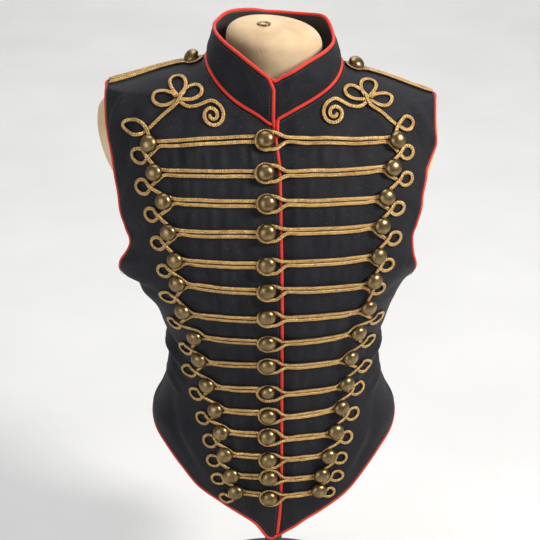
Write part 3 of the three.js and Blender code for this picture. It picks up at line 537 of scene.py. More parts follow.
def resample(points, extra=None, step=2.0, loop=False):
    """A smooth curve through stops, with points about a step apart."""
    points = np.asarray(points, float)
    rows = points if extra is None else np.concatenate([points, np.asarray(extra, float)], axis=1)
    rows = rows[np.r_[True, np.linalg.norm(np.diff(points, axis=0), axis=1) > 1e-6]]
    if loop:
        padded = np.concatenate([rows[-1:], rows, rows[:2]])
    else:
        padded = np.concatenate([[2 * rows[0] - rows[1]], rows, [2 * rows[-1] - rows[-2]]])
    parts = []
    for stops in zip(padded[:-3], padded[1:-2], padded[2:-1], padded[3:]):
        gaps = [max(np.linalg.norm((b - a)[:3]), 1e-6) ** 0.5 for a, b in zip(stops, stops[1:])]
        knots = [0, gaps[0], gaps[0] + gaps[1], gaps[0] + gaps[1] + gaps[2]]
        count = max(int(round(gaps[1] ** 2 / step)), 1)
        t = np.linspace(knots[1], knots[2], count, endpoint=False)[:, None]

        def between(a, b, start, end):
            return (end - t) / (end - start) * a + (t - start) / (end - start) * b

        near = [between(stops[i], stops[i + 1], knots[i], knots[i + 1]) for i in range(3)]
        far = [between(near[i], near[i + 1], knots[i], knots[i + 2]) for i in range(2)]
        parts.append(between(*far, knots[1], knots[2]))
    return np.concatenate(parts + ([] if loop else [rows[-1:]]))


def sweep(path, out, profile, loop=False, taper=0.0, widths=1.0):
    """Points, faces and uv of a profile carried along a path. uv is length and turn."""
    forward = unit(heading(path, loop))
    across = unit(np.cross(forward, out))
    upward = np.cross(across, forward)
    size, length = np.ones(len(path)), distances(path)
    if taper:
        size = np.sqrt(np.clip(np.minimum(length, length[-1] - length) / taper, 0.05, 1))
    rings = (
        path[:, None]
        + across[:, None] * (profile[None, :, 0:1] * (size * widths)[:, None, None])
        + upward[:, None] * (profile[None, :, 1:2] * size[:, None, None])
    )
    count, sides = len(path), len(profile)
    faces = grid_faces(count, sides, wrap=True)
    last = (count - 1) * sides
    if loop:
        faces += [(last + i, last + (i + 1) % sides, (i + 1) % sides, i) for i in range(sides)]
    else:
        faces += [list(range(sides))[::-1], [last + i for i in range(sides)]]
    turn = np.abs(np.arange(sides) / sides - 0.5) * 2
    uv = np.stack(np.broadcast_arrays(length[:, None] * MM, turn[None, :]), -1).reshape(-1, 2)
    return rings.reshape(-1, 3), faces, uv


def joined(name, parts, material, *nodes):
    """One mesh of many parts, each its points, faces and uv, in the place of these nodes."""
    faces, start = [], 0
    for points, part_faces, _ in parts:
        faces += [[i + start for i in f] for f in part_faces]
        start += len(points)
    piece = new_object(name, np.concatenate([part[0] for part in parts]), faces, [material],
                       np.concatenate([part[2] for part in parts]))
    if nodes:
        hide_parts(*nodes)
    return piece


def oval(width, height, sides):
    """A round section as [across, out]."""
    turn = 2 * math.pi * (np.arange(sides) + 0.5) / sides - math.pi / 2
    return np.stack([width / 2 * np.cos(turn), height / 2 * np.sin(turn)], -1)


def ribbed(width, height, sides=18):
    """A flat plaited cord's section: two ribs with a groove between, low at the sides."""
    across, outward = oval(width, height, sides).T
    groove = 0.42 * bell(across, width * 0.13) * (outward > 0)
    return np.stack([across, np.maximum(outward, -height * 0.375) + height / 2 - groove], -1)


# Materials


class Shader:
    """A small helper for a material's node tree."""

    def __init__(self, name, color, roughness, metallic=0.0, more=()):
        self.material = bpy.data.materials.new(name)
        self.material.use_nodes = True
        self.tree = self.material.node_tree
        self.shader = self.tree.nodes["Principled BSDF"]
        values = {"Roughness": roughness, "Metallic": metallic, "Base Color": (*color, 1), **dict(more)}
        for socket, value in values.items():
            self.shader.inputs[socket].default_value = value
        self.coordinates = self.node("ShaderNodeTexCoord", {})

    def feed(self, target, value):
        if isinstance(value, bpy.types.NodeSocket):
            self.tree.links.new(value, target)
        else:
            target.default_value = (*value, 1) if isinstance(value, tuple) else value

    def node(self, kind, inputs, **settings):
        made = self.tree.nodes.new(kind)
        for key, value in settings.items():
            setattr(made, key, value)
        for socket, value in inputs.items():
            self.feed(made.inputs[socket], value)
        return made

    def noise(self, scale, detail=3.0, rough=0.55):
        place = self.coordinates.outputs["Object"]
        inputs = {"Scale": scale, "Detail": detail, "Roughness": rough, "Vector": place}
        return self.node("ShaderNodeTexNoise", inputs).outputs["Fac"]

    def split_uv(self):
        return self.node("ShaderNodeSeparateXYZ", {0: self.coordinates.outputs["UV"]}).outputs[:2]

    def math(self, operation, a, b=0.0):
        return self.node("ShaderNodeMath", {0: a, 1: b}, operation=operation).outputs[0]

    def plus(self, a, b):
        return self.math("ADD", a, b)

    def times(self, a, b):
        return self.math("MULTIPLY", a, b)

    def wave(self, value, pitch):
        """A swing between 0 and 1."""
        swing = self.math("SINE", self.times(value, 2 * math.pi / pitch))
        return self.plus(self.times(swing, 0.5), 0.5)

    def ramp(self, value, *stops):
        """Stops of (place, colour or grey)."""
        made = self.node("ShaderNodeValToRGB", {0: value})
        elements = made.color_ramp.elements
        while len(elements) < len(stops):
            elements.new(0.5)
        for element, (position, color) in zip(elements, stops):
            element.position = position
            element.color = (*color, 1) if isinstance(color, tuple) else (color, color, color, 1)
        return made.outputs[0]

    def blend(self, share, a, b):
        return self.node("ShaderNodeMix", {0: share, 6: a, 7: b}, data_type="RGBA").outputs[2]

    def color(self, value):
        self.feed(self.shader.inputs["Base Color"], value)

    def roughness(self, value, low, high):
        made = self.node("ShaderNodeMapRange", {"Value": value, "To Min": low, "To Max": high})
        self.feed(self.shader.inputs["Roughness"], made.outputs[0])

    def bump(self, *layers):
        """Layers of (height, strength, distance in metres), the finest last."""
        before = {}
        for height, strength, distance in layers:
            inputs = {"Height": height, "Strength": strength, "Distance": distance, **before}
            before = {"Normal": self.node("ShaderNodeBump", inputs).outputs[0]}
        self.feed(self.shader.inputs["Normal"], before["Normal"])


def wool_material():
    s = Shader("black_wool", (0.010, 0.010, 0.012), 0.82,
               more={"Sheen Weight": 0.03, "Sheen Roughness": 0.4, "Specular IOR Level": 0.27})
    u, v = s.split_uv()
    weave = s.times(s.wave(s.plus(u, v), 0.0011), s.wave(s.plus(u, s.times(v, -2.0)), 0.0008))
    nap, cloud = s.noise(900, 4, 0.7), s.noise(34, 5, 0.62)
    # Cloud patches from darker to lighter bluish black: partly faded cloth, partly painted sheen.
    wear_and_painted_sheen = s.blend(s.ramp(cloud, (0.36, 0), (0.68, 1)), (0.0020, 0.0022, 0.0032), (0.0095, 0.0096, 0.0130))
    fuzzy = s.blend(s.times(nap, 0.40), wear_and_painted_sheen, (0.014, 0.014, 0.019))
    lint = s.ramp(s.noise(1150, 0, 0.5), (0.795, 0), (0.825, 1))
    s.color(s.blend(s.times(lint, 0.35), fuzzy, (0.30, 0.29, 0.27)))
    s.roughness(cloud, 0.62, 0.82)
    s.bump((cloud, 0.35, 0.0012), (weave, 0.32, 0.00025), (nap, 0.35, 0.0002))
    return s.material


def lining_material():
    s = Shader("black_lining", (0.010, 0.010, 0.012), 0.55, more={"Sheen Weight": 0.2})
    u, v = s.split_uv()
    rib, cloud = s.wave(s.plus(u, s.times(v, 0.5)), 0.0009), s.noise(40, 4)
    s.color(s.ramp(cloud, (0.3, (0.007, 0.007, 0.009)), (0.75, (0.019, 0.018, 0.021))))
    s.bump((cloud, 0.3, 0.001), (rib, 0.3, 0.0002))
    return s.material


def piping_material():
    s = Shader("red_piping", (0.80, 0.055, 0.03), 0.6, more={
        "Sheen Weight": 0.08, "Sheen Tint": (1.0, 0.45, 0.35, 1), "Specular IOR Level": 0.35})
    length, turn = s.split_uv()
    grain = s.wave(s.plus(length, s.times(turn, 0.0016)), 0.0013)
    fuzz, stain = s.noise(1200, 3, 0.6), s.noise(60, 4, 0.6)
    base = s.blend(s.ramp(stain, (0.35, 0), (0.7, 1)), (0.50, 0.016, 0.009), (0.66, 0.034, 0.017))
    s.color(s.blend(s.times(grain, 0.28), base, (0.78, 0.09, 0.045)))
    s.bump((stain, 0.25, 0.0007), (grain, 0.5, 0.0003), (fuzz, 0.35, 0.00022))
    return s.material


def gold_material():
    """Flat plaited cord: two ribs of slanting strands that meet in a fine groove."""
    s = Shader("gold_cord", (0.55, 0.33, 0.11), 0.42, 0.35)
    length, turn = s.split_uv()
    strand = s.wave(s.plus(length, s.times(turn, 0.0042)), 0.0023)
    fine = s.wave(s.plus(length, s.times(turn, 0.0060)), 0.0007)
    grit, patch = s.noise(720, 3, 0.6), s.noise(95, 4, 0.6)
    groove = s.ramp(turn, (0.0, 0), (0.12, 1))
    brown, side_shade_red_brown = (0.20, 0.085, 0.028), (0.055, 0.018, 0.009)
    # Gold of the strands, with painted highlight on each strand's crest and painted shade in the gaps between
    # strands.
    strand_highlight_and_shade = s.ramp(strand, (0.05, (0.19, 0.08, 0.018)), (0.4, (0.62, 0.35, 0.085)), (0.9, (1.0, 0.69, 0.22)))
    aged = s.blend(s.ramp(patch, (0.34, 0.7), (0.66, 0)), strand_highlight_and_shade, (0.36, 0.175, 0.058))
    # Random dark brown specks, the dark half of the mottle whose bright half follows as painted glints.
    brown_specks = s.blend(s.ramp(grit, (0.36, 0.75), (0.50, 0)), aged, brown)
    lit = s.blend(s.times(s.ramp(grit, (0.53, 0), (0.66, 1)), 0.75), brown_specks, (1.0, 0.78, 0.36))
    # Painted shade: a dark brown line down the groove at the top of the cord, between its two ribs.
    shaded_groove = s.blend(s.ramp(turn, (0.02, 0.55), (0.10, 0)), lit, brown)
    # Painted shade: the cord's sides and underside darken to red-brown.
    s.color(s.blend(s.ramp(turn, (0.26, 0), (0.46, 1)), shaded_groove, side_shade_red_brown))
    s.roughness(grit, 0.34, 0.60)
    s.bump((groove, 0.35, 0.0005), (strand, 0.7, 0.0005), (fine, 0.3, 0.00014), (grit, 0.6, 0.00035))
    return s.material


def brass_material():
    s = Shader("aged_brass", (0.33, 0.22, 0.085), 0.34, 1.0)
    tarnish, bloom, fine = s.noise(150, 5, 0.62), s.noise(38, 3, 0.5), s.noise(1400, 3, 0.6)
    # Tarnish patches, the brass's own colour, with no painted sheen.
    wear_and_painted_sheen = s.ramp(tarnish, (0.30, (0.12, 0.077, 0.032)), (0.52, (0.24, 0.160, 0.068)),
                  (0.75, (0.40, 0.285, 0.13)))
    s.color(s.blend(s.times(bloom, 0.45), wear_and_painted_sheen, (0.19, 0.15, 0.09)))
    s.roughness(tarnish, 0.24, 0.40)
    s.bump((bloom, 0.25, 0.0006), (tarnish, 0.14, 0.0002), (fine, 0.12, 0.00008))
    return s.material


def stockinette_material():
    s = Shader("stockinette", (0.72, 0.57, 0.40), 0.92, more={"Sheen Weight": 0.06})
    u, v = s.split_uv()
    wale = s.wave(u, 0.0015)
    course = s.wave(s.plus(v, s.times(wale, 0.0005)), 0.0013)
    knit = s.times(wale, s.plus(s.times(course, 0.6), 0.4))
    stain, fuzz = s.noise(16, 5, 0.6), s.noise(1100, 3, 0.6)
    base = s.ramp(stain, (0.30, (0.50, 0.33, 0.17)), (0.50, (0.66, 0.47, 0.27)), (0.75, (0.76, 0.58, 0.36)))
    s.color(s.blend(s.times(knit, 0.30), base, (0.86, 0.72, 0.50)))
    s.bump((stain, 0.25, 0.0015), (knit, 0.55, 0.0004), (fuzz, 0.3, 0.0002))
    return s.material


def steel_material():
    s = Shader("stand_paint", (0.018, 0.018, 0.020), 0.42, 0.2)
    speck, rub = s.noise(600, 4, 0.6), s.noise(25, 4, 0.6)
    s.color(s.ramp(rub, (0.35, (0.012, 0.012, 0.014)), (0.75, (0.034, 0.033, 0.034))))
    s.roughness(rub, 0.34, 0.58)
    s.bump((speck, 0.25, 0.0002))
    return s.material


def thread_material():
    s = Shader("black_thread", (0.02, 0.02, 0.022), 0.5, more={"Sheen Weight": 0.3})
    twist = s.noise(2600, 2, 0.5)
    s.color(s.ramp(twist, (0.3, (0.012, 0.012, 0.014)), (0.7, (0.045, 0.044, 0.048))))
    s.bump((twist, 0.4, 0.0001))
    return s.material


wool = wool_material()
lining = lining_material()
red = piping_material()
gold = gold_material()
brass = brass_material()
stockinette = stockinette_material()
steel = steel_material()
thread = thread_material()


# Cloth panels

WAIST = 340.0
HEM_ROWS, BODY_ROWS, TOP_ROWS = 25, 100, 26
SIDE_SEAM = {"depth": 0.9, "width": 1.6}


def panel(side, places, angle_of, hem_level, top_x, top_level, inset, facing):
    """Grid of a panel. places are the columns' own numbers, and the callables read them."""
    hem = np.linspace(0, 1, HEM_ROWS + 1)[:-1]
    body = np.linspace(WAIST, YOKE, BODY_ROWS)
    top = np.linspace(0, 1, TOP_ROWS + 1)[1:]
    low = mix(hem_level[None, :], WAIST, hem[:, None])
    level = np.concatenate([low, np.repeat(body[:, None], len(places), axis=1)])
    angle = angle_of(level)
    at_yoke = np.full((1, len(places)), YOKE)
    yoke_x = ring_point(SECTIONS, angle_of(at_yoke), at_yoke)[..., 0]
    on_ridge = ease(top_x, 40, NECK_HALF)[None, :]
    t = top[:, None]
    rising = mix(t, np.sin(t * math.pi / 2), on_ridge)
    yoke_z = mix(YOKE, top_level[None, :], rising)
    x = mix(yoke_x, top_x[None, :], t)
    front = angle_at(x, yoke_z)
    front = np.where((t == 1) & (on_ridge == 1), math.pi / 2, front)
    yoke_angle = front if facing < 0 else math.pi - front
    angle = side * np.concatenate([angle, yoke_angle])
    level = np.concatenate([level, yoke_z])
    from_side = (np.abs(np.degrees(angle)) - 90) * ARC
    seam = SIDE_SEAM["depth"] * bell(from_side, SIDE_SEAM["width"]) * (level < UNDERARM)
    lift = folds(angle, level) - inset - seam
    return on_surface(angle, level, lift)


def spread(per_gap):
    """Column numbers, so many in each gap between the stops 0, 1, 2 and on."""
    return np.concatenate([np.linspace(i, i + 1, n, endpoint=False) for i, n in enumerate(per_gap)]
                          + [[len(per_gap)]])


# Named columns at the top edge, and how many grid columns each gap between them has
NECK_COLUMNS = [48, 62, 72, 76.5, 78]
SHOULDER_COLUMNS = [102, 130, 159, 188]
BACK_COLUMNS = [0, 26, 49, 66, 75.5, 78]
FRONT_GAPS = [9, 8, 7, 5, 3, 8, 8, 8, 8]
BACK_GAPS = [9, 8, 7, 4, 2, 8, 8, 8, 8]


def front_panel(side):
    last = 30.0 if side < 0 else LAP_EASED
    tops = [last, *NECK_COLUMNS, *SHOULDER_COLUMNS]
    first = np.linspace(0, 1, 15)[:-1]
    steps = spread(FRONT_GAPS)

    def edge(level):
        if side < 0:
            return -curve(FRONT_EDGE, 1, level)
        return np.full(np.shape(level), -UNDERLAP)

    count = len(tops) - 1
    share = steps / count

    def angle_of(level):
        x = mix(edge(level[:, :1]), last, first[None, :])
        near = angle_at(x, level[:, : len(first)])
        far_level = level[:, len(first):]
        column = OPEN_RIGHT if side < 0 else OPEN_LEFT
        open_by = np.where(far_level < UNDERARM, 0, np.radians(curve(ARMHOLE, column, far_level)))
        start = angle_at(np.full(far_level.shape, last), far_level)
        far = mix(start, math.pi / 2 - open_by, share[None, :])
        return np.concatenate([near, far], axis=1)

    neck_x = mix(edge(front_neck(0, side)), last, first)
    top_x = np.concatenate([neck_x, np.interp(steps, range(len(tops)), tops)])
    reach = np.abs(top_x)
    turned = np.abs(np.degrees(angle_of(np.full((1, len(top_x)), HEM_TURN)))[0])
    hem = curve(FRONT_HEM, 1, turned)
    if side < 0:
        hem = hem + RIGHT_HEM_RISE * ease(turned, 0, 6) * (1 - ease(turned, 25, 60))
    level = np.where(reach < NECK_HALF, front_neck(reach, side), ridge_level(reach))
    under = np.zeros(len(top_x))
    if side > 0:
        under = LAP_INSET * (1 - ease(top_x, UNDERLAP, LAP_EASED))
    return panel(side, top_x, angle_of, hem, top_x, level, under[None, :], -1)


def back_panel():
    tops = [*BACK_COLUMNS, *SHOULDER_COLUMNS]
    steps = spread(BACK_GAPS)
    share = steps / (len(tops) - 1)

    def angle_of(level):
        open_by = np.where(level < UNDERARM, 0, np.radians(curve(ARMHOLE, OPEN_BACK, level)))
        return math.pi - (math.pi / 2 - open_by) * share[None, :]

    top_x = np.interp(steps, range(len(tops)), tops)
    hem = curve(BACK_HEM, 1, 90 * share)
    level = np.where(top_x < NECK_HALF, back_neck(top_x), ridge_level(top_x))
    halves = [panel(side, top_x, angle_of, hem, top_x, level, 0.0, 1) for side in (-1, 1)]
    (right, right_out), (left, left_out) = halves
    points = np.concatenate([right[:, ::-1], left[:, 1:]], axis=1)
    return points, np.concatenate([right_out[:, ::-1], left_out[:, 1:]], axis=1)


right_grid, right_out = front_panel(-1)
left_grid, left_out = front_panel(1)
back_grid, back_out = back_panel()

front_right = shell("front_right", right_grid, right_out)
front_left = shell("front_left", left_grid, left_out)
back = shell("back", back_grid, back_out)


# Collar: its foot follows the neckline and its mouth the collar's top table


def neckline():
    """Points, outward directions and lift inward of the left end, from the right front's edge
    round the back to the left front's edge."""
    edge = -curve(FRONT_EDGE, 1, FRONT_NECK["z"])
    near = np.concatenate([np.linspace(edge, 66, 40)[:-1], np.linspace(66, NECK_HALF, 14)])
    right_z = front_neck(near, -1)
    right_angle = np.where(near >= NECK_HALF, math.pi / 2, angle_at(near, right_z))
    right, right_dir = on_surface(-right_angle, right_z)
    behind = NECK_HALF * np.cos(np.linspace(0, math.pi, 75)[1:-1])
    behind_z = back_neck(np.abs(behind))
    side = np.sign(behind)
    back_angle = side * (math.pi - angle_at(np.abs(behind), behind_z))
    rear, rear_dir = on_surface(-back_angle, behind_z)
    far = near[::-1]
    left_x = np.concatenate([far[far > UNDERLAP], np.linspace(UNDERLAP, -UNDERLAP, 8)])
    left_z = front_neck(np.abs(left_x), 1)
    left_angle = np.where(left_x >= NECK_HALF, math.pi / 2, angle_at(left_x, left_z))
    under = LAP_INSET * (1 - ease(left_x, UNDERLAP - 4, LAP_EASED))
    left, left_dir = on_surface(left_angle, left_z, -under)
    points = np.concatenate([right, rear, left])
    return points, np.concatenate([right_dir, rear_dir, left_dir]), len(right) + len(rear) + len(left) - 8


def collar_mouth(foot):
    sine = np.clip(foot[:, 0] / NECK_HALF, -1, 1)
    behind = foot[:, 1] > AXIS_Y
    turned = np.degrees(np.arcsin(np.abs(sine)))
    angle = np.where(behind, 180 - turned, turned)
    cosine = np.abs(np.cos(np.radians(angle)))
    x = COLLAR_MOUTH["half_width"] * sine
    y = COLLAR_MOUTH["y"] + np.where(behind, COLLAR_MOUTH["back"], -COLLAR_MOUTH["front"]) * cosine
    lean = (WORN_TILT + NECK_TILT) * np.where(behind, 1 - ease(cosine, 0, 0.6), 1)
    level = curve(COLLAR_TOP, 1, angle) - lean * x + behind * curve(COLLAR_WAVE, 1, x)
    on_right = np.arange(len(foot)) < len(foot) // 3
    corner = 1 - ease(-x, COLLAR_CORNER["from"], COLLAR_CORNER["to"])
    return np.stack([x, y, level - on_right * COLLAR_CORNER["drop"] * corner], -1)


NECK_SEAM = 2.5
neck_points, neck_out, lap_start = neckline()
mouth = collar_mouth(neck_points)
inward = np.stack([-neck_points[:, 0], AXIS_Y - neck_points[:, 1], np.zeros(len(neck_points))], -1)
under_end = np.zeros(len(neck_points))
under_end[lap_start - 6:] = LAP_INSET * ease(np.arange(len(neck_points) - lap_start + 6), 0, 8)
mouth = mouth + unit(inward) * under_end[:, None]
rise = unit(mouth - neck_points)

# Soft folds of the collar: share of the way round, share of the height, lean, depth, width
COLLAR_FOLDS = [
    (0.07, 0.45, 0.10, 1.1, 0.022),
    (0.13, 0.55, -0.12, -1.3, 0.026),
    (0.20, 0.40, 0.16, 1.0, 0.030),
    (0.30, 0.60, -0.10, -1.0, 0.024),
    (0.41, 0.35, 0.08, 0.9, 0.030),
    (0.52, 0.55, -0.09, -1.2, 0.028),
    (0.63, 0.45, 0.12, 1.0, 0.026),
    (0.74, 0.50, -0.14, -1.1, 0.028),
    (0.83, 0.45, 0.10, 1.1, 0.024),
    (0.91, 0.60, -0.12, -1.2, 0.022),
]


COLLAR_ROWS = 22
COLLAR_SWELL = 2.0


def collar_grid():
    start = neck_points + rise * (2 * NECK_SEAM - 1.6)
    t = np.linspace(0, 1, COLLAR_ROWS)[:, None]
    line = start[None] + (mouth - start)[None] * t[..., None]
    sideways = np.gradient(line, axis=1)
    out = unit(np.cross(np.broadcast_to(rise, line.shape), sideways))
    round_share = np.linspace(0, 1, len(neck_points))[None, :]
    lift = COLLAR_SWELL * np.sin(math.pi * t) * np.ones_like(round_share)
    for place, middle, lean, depth, width in COLLAR_FOLDS:
        aside = round_share - place - lean * (t - middle)
        lift = lift + depth * bell(aside, width) * bell(t - middle, 0.42)
    lift = lift * (1 - under_end[None, :] / LAP_INSET * 0.7)
    return line + out * lift[..., None], out


collar_points, collar_out = collar_grid()
collar = shell("collar", collar_points, collar_out, COLLAR_CLOTH)


# Red piping

PIPING = oval(4.0, 4.0, 10)
THREAD = oval(0.6, 0.5, 6) + [0, 0.25]
STITCH = {"pitch": 3.3, "length": 2.3, "inside": 3.3}
wobble = rng.normal(0, 1, 4096)
stitch_parts = []


def uneven(length, scale, depth):
    """A soft seeded variation along a length."""
    return depth * np.interp(length / scale, np.arange(len(wobble)), wobble)


def along_edge(edge, out, towards, beside, depth, loop, step):
    """A line that follows an edge, so far beside it and so deep under it."""
    away = unit(np.cross(heading(edge, loop), out)) * towards
    return resample(edge + away * beside - out * depth, out, step, loop)


def sew(edge, out, towards, loop=False, inside=STITCH["inside"]):
    """A row of stitches just inside an edge."""
    run = along_edge(edge, out, towards, -inside, -0.12, loop, STITCH["pitch"] / 6)
    length = distances(run[:, :3])
    sunk = np.array([0.28, 0.04, 0, 0.04, 0.28])[:, None]
    for start in np.arange(2, length[-1] - STITCH["pitch"], STITCH["pitch"]):
        at = start + STITCH["length"] * np.array([0, 0.22, 0.5, 0.78, 1])
        found = np.stack([np.interp(at, length, column) for column in run.T], -1)
        outward = unit(found[:, 3:])
        stitch_parts.append(sweep(found[:, :3] - outward * sunk, outward, THREAD, taper=0.4))


def piping_along(edge, out, towards, beside, depth, loop=False):
    """Piping that lies along the edge of a wall, beside it and level with its middle."""
    run = along_edge(edge, out, towards, beside, depth, loop, 2.2)
    path, run_out = run[:, :3], unit(run[:, 3:])
    path = path + run_out * uneven(distances(path), 17, 0.12)[:, None]
    return sweep(path, run_out, PIPING, loop, taper=0.0 if loop else 2.0)


def thinned(points, step):
    """Points of a line about a step apart, with both ends."""
    length = distances(points)
    count = max(int(length[-1] / step), 2)
    return [int(np.argmin(np.abs(length - v))) for v in np.linspace(0, length[-1], count)]


def edge_run(points, out, step):
    index = thinned(points, step)
    return points[index], out[index]


# Up the right front's edge and the collar's end, then round the collar's top to under its left end
top_row = slice(1, lap_start + 6)
edge_points, edge_out = edge_run(
    np.concatenate([right_grid[:, 0], collar_points[2:, 0], collar_points[-1, top_row]]),
    np.concatenate([right_out[:, 0], collar_out[2:, 0], collar_out[-1, top_row]]), 7)
red_parts = [piping_along(edge_points, edge_out, 1, 1.2, 0.9)]
sew(edge_points, edge_out, 1)

# Round the neck seam
shown = slice(0, lap_start + 4)
seam_points, seam_out = edge_run(neck_points[shown] + rise[shown] * NECK_SEAM, neck_out[shown], 6)
red_parts.append(piping_along(seam_points, seam_out, 1, 0.0, -0.1))
sewn = thinned(neck_points[shown], 6)
sew(seam_points - NECK_SEAM * rise[shown][sewn], seam_out, 1, inside=2.6)

# The short stretch of the left front's edge that shows at the neck: place across, level, rise
LEFT_EDGE = np.array([(4.6, 726.5, 0.6), (3.9, 722, 0.9), (3.6, 716, 0.6), (3.6, 711, 0), (3.4, 706, -1.2)])
red_parts.append(piping_along(*on_front(*LEFT_EDGE.T), 1, 0.0, 0.0))

# Round the hem
hem_line = np.concatenate([right_grid[0], back_grid[0, 1:-1], left_grid[0, ::-1]])
hem_out = np.concatenate([right_out[0], back_out[0, 1:-1], left_out[0, ::-1]])
hem_points, hem_dirs = edge_run(hem_line, hem_out, 7)
red_parts.append(piping_along(hem_points, hem_dirs, -1, 1.3, CLOTH / 2))
sew(hem_points, hem_dirs, -1)
joined("piping_edges", red_parts, red, "edge_piping")

# Round each armhole: up the front and down the back
under_row = HEM_ROWS + int(round((UNDERARM - WAIST) / (YOKE - WAIST) * (BODY_ROWS - 1)))
for name, front, front_dir, column, towards in (
        ("right", right_grid, right_out, 0, -1), ("left", left_grid, left_out, -1, 1)):
    loop_points = np.concatenate([front[under_row:, -1], back_grid[under_row + 1:-1, column][::-1]])
    loop_out = np.concatenate([front_dir[under_row:, -1], back_out[under_row + 1:-1, column][::-1]])
    kept = thinned(loop_points, 8)[:-1]
    sew(loop_points[kept], loop_out[kept], towards, loop=True)
    run = piping_along(loop_points[kept], loop_out[kept], towards, 1.2, CLOTH / 2, loop=True)
    joined(f"piping_armhole_{name}", [run], red, f"armhole_piping_{name}")
stitches = joined("stitches", stitch_parts, thread)


# Gold braid: on each side one cord runs from the trefoil down through every ring and row.
# Stops are [reach, level, rise off the cloth] of one side.

CORD = ribbed(CORD_WIDTH, CORD_HEIGHT)
CROSSING_RISE = 2.3
ROW_START = 10
BEND = {1: (3.0, 0.14, 0.26), -1: (3.4, -0.27, -0.17)}
RING = {"offset": 9.3, "radius": 7.2}
TOP_RINGS = {-1: ((154.6, 707.2), (140.9, 707.0), 7.5, 1.7), 1: ((150, 721.5), (138, 720), 7.0, 1.2)}
LAST_RING = {"inward": 1, "below": 9, "radius": 6.4}


def rows_of(side):
    return RIGHT_ROWS if side < 0 else LEFT_ROWS


def narrowing(level):
    """The cords' width as a share of its widest; they are pulled a little narrower low down."""
    return mix(0.86, 1, ease(level, 300, 620))


def beside(level):
    """From a row's middle to each of its two cords."""
    return 2.48 * float(narrowing(level))


def row_level(row, reach):
    return mix(row[0], row[1], min(max(reach / row[2], 0), 1) ** 1.5)


def half_ring(ring, up, steps=7):
    """From the ring's far point back to where the cord leaves it for the crossing."""
    middle, crossing, radius, stretch = ring
    across, above = (middle[0] - crossing[0]) / stretch, middle[1] - crossing[1]
    axis = math.atan2(above, across)
    open_by = math.acos(radius / math.hypot(across, above))
    stops = []
    for t in np.linspace(0, 1, steps + 1):
        angle = axis + up * (math.pi - open_by) * t
        over = CROSSING_RISE * 0.8 if up > 0 and t == 1 else 0
        stops.append((middle[0] + stretch * radius * math.cos(angle),
                      middle[1] + radius * math.sin(angle), over))
    return stops


def rings_of(side):
    ends = rows_of(side)
    found = [TOP_RINGS[side]]
    for upper, lower in zip(ends[:-1], ends[1:]):
        middle = np.array(upper[4:6])
        towards = np.array([upper[2] + lower[2], upper[3] + lower[3]]) / 2 - middle
        foot = tuple(middle + unit(towards) * RING["offset"])
        size = RING["radius"] * rng.uniform(0.94, 1.05)
        found.append((tuple(middle), foot, size, rng.uniform(0.95, 1.08)))
    last = ends[-1]
    foot = (last[2] - LAST_RING["inward"], last[3] - LAST_RING["below"])
    found.append((last[4:6], foot, LAST_RING["radius"], 1.0))
    return found


def inner_end(side, index, up):
    """Half of a row's inner end: a tight turn on the right side, a loop round the centre
    button on the left side."""
    row, gap = rows_of(side)[index], beside(rows_of(side)[index][0])
    level, _, across = ROWS[index]
    if side < 0:
        turning = -across + LOOP_RADIUS * 0.92 + 0.6
        middle = row_level(row, turning + 2.8)
        stops = [(turning + 2.2, middle + up * gap, 0), (turning + 0.4, middle + up * gap * 0.8, 0)]
        return turning + 7, stops + [(turning, middle, 0)]
    small = index == SMALL_BUTTON_ROW
    high = mix(LOOP_HIGH, LOW_LOOP_HIGH, float(ease(index, 3, 8)))
    leg = mix(level, row[0], 0.5)
    loop = [(8.5, leg + up * 4.6, LEG_RISE * 0.8), (2.6, level + up * high * 0.84, LEG_RISE)]
    for degree in np.linspace(70, 180, 7):
        turned = math.radians(degree)
        loop.append((across + (LOOP_RADIUS + (1.5 if small else 0)) * math.cos(turned),
                     level + up * high * math.sin(turned),
                     LEG_RISE * (1 - 0.3 * float(ease(degree, 90, 150)))))
    return 14, loop


def row_cord(side, row, inner, up):
    outer = row[2] - ROW_START
    count = max(int((outer - inner) / 14), 2)
    stops = []
    for reach in np.linspace(outer, inner, count + 1):
        stray = uneven(reach + row[0] * 3.1 + side * 977 + 4000, 19, 0.22)
        level = row_level(row, reach)
        stops.append((reach, level + up * beside(level) + stray, 0))
    return stops


def cord_route(side):
    """The stops of the running cord."""
    rings = rings_of(side)
    ends = rows_of(side)
    crossing = rings[0][1]
    reach, level = TREFOIL[side]
    route = [(reach - 2, level + 4, 2.2), (reach + 3, level - 5, 1.6)]
    route += [(mix(reach, crossing[0], t), mix(level, crossing[1], t) - 1, 0) for t in (0.5, 0.85)]
    route += half_ring(rings[0], -1)[::-1]
    for index, row in enumerate(ends):
        near = min(index, len(ends) - 2)
        spacing = ends[near][3] - ends[near + 1][3]
        for up, ring in ((1, rings[index]), (-1, rings[index + 1])):
            inner, stops = inner_end(side, index, up)
            over = CROSSING_RISE if up > 0 else 0
            inward, aside = BEND[up][0], mix(*BEND[up][1:], float(ease(index, 2, 8)))
            passing = [(*ring[1], over), (row[2] - inward, row[1] + aside * spacing, over * 0.5)]
            half = half_ring(ring, up)[1 if up > 0 else 0:] + passing
            half += row_cord(side, row, inner, up) + stops
            route += half if up > 0 else half[::-1][1:]
    last = rings[-1]
    route += half_ring(last, 1)[1:] + [(*last[1], CROSSING_RISE)]
    route.append((last[1][0] - 4, last[1][1] + 3.5, 1.2))
    return np.array(route)


def laid(side, route):
    """A cord along stops, laid on the cloth."""
    run = resample(route, step=1.5)
    return on_front(side * run[:, 0], run[:, 1], BRAID_LIFT + np.maximum(run[:, 2], 0))


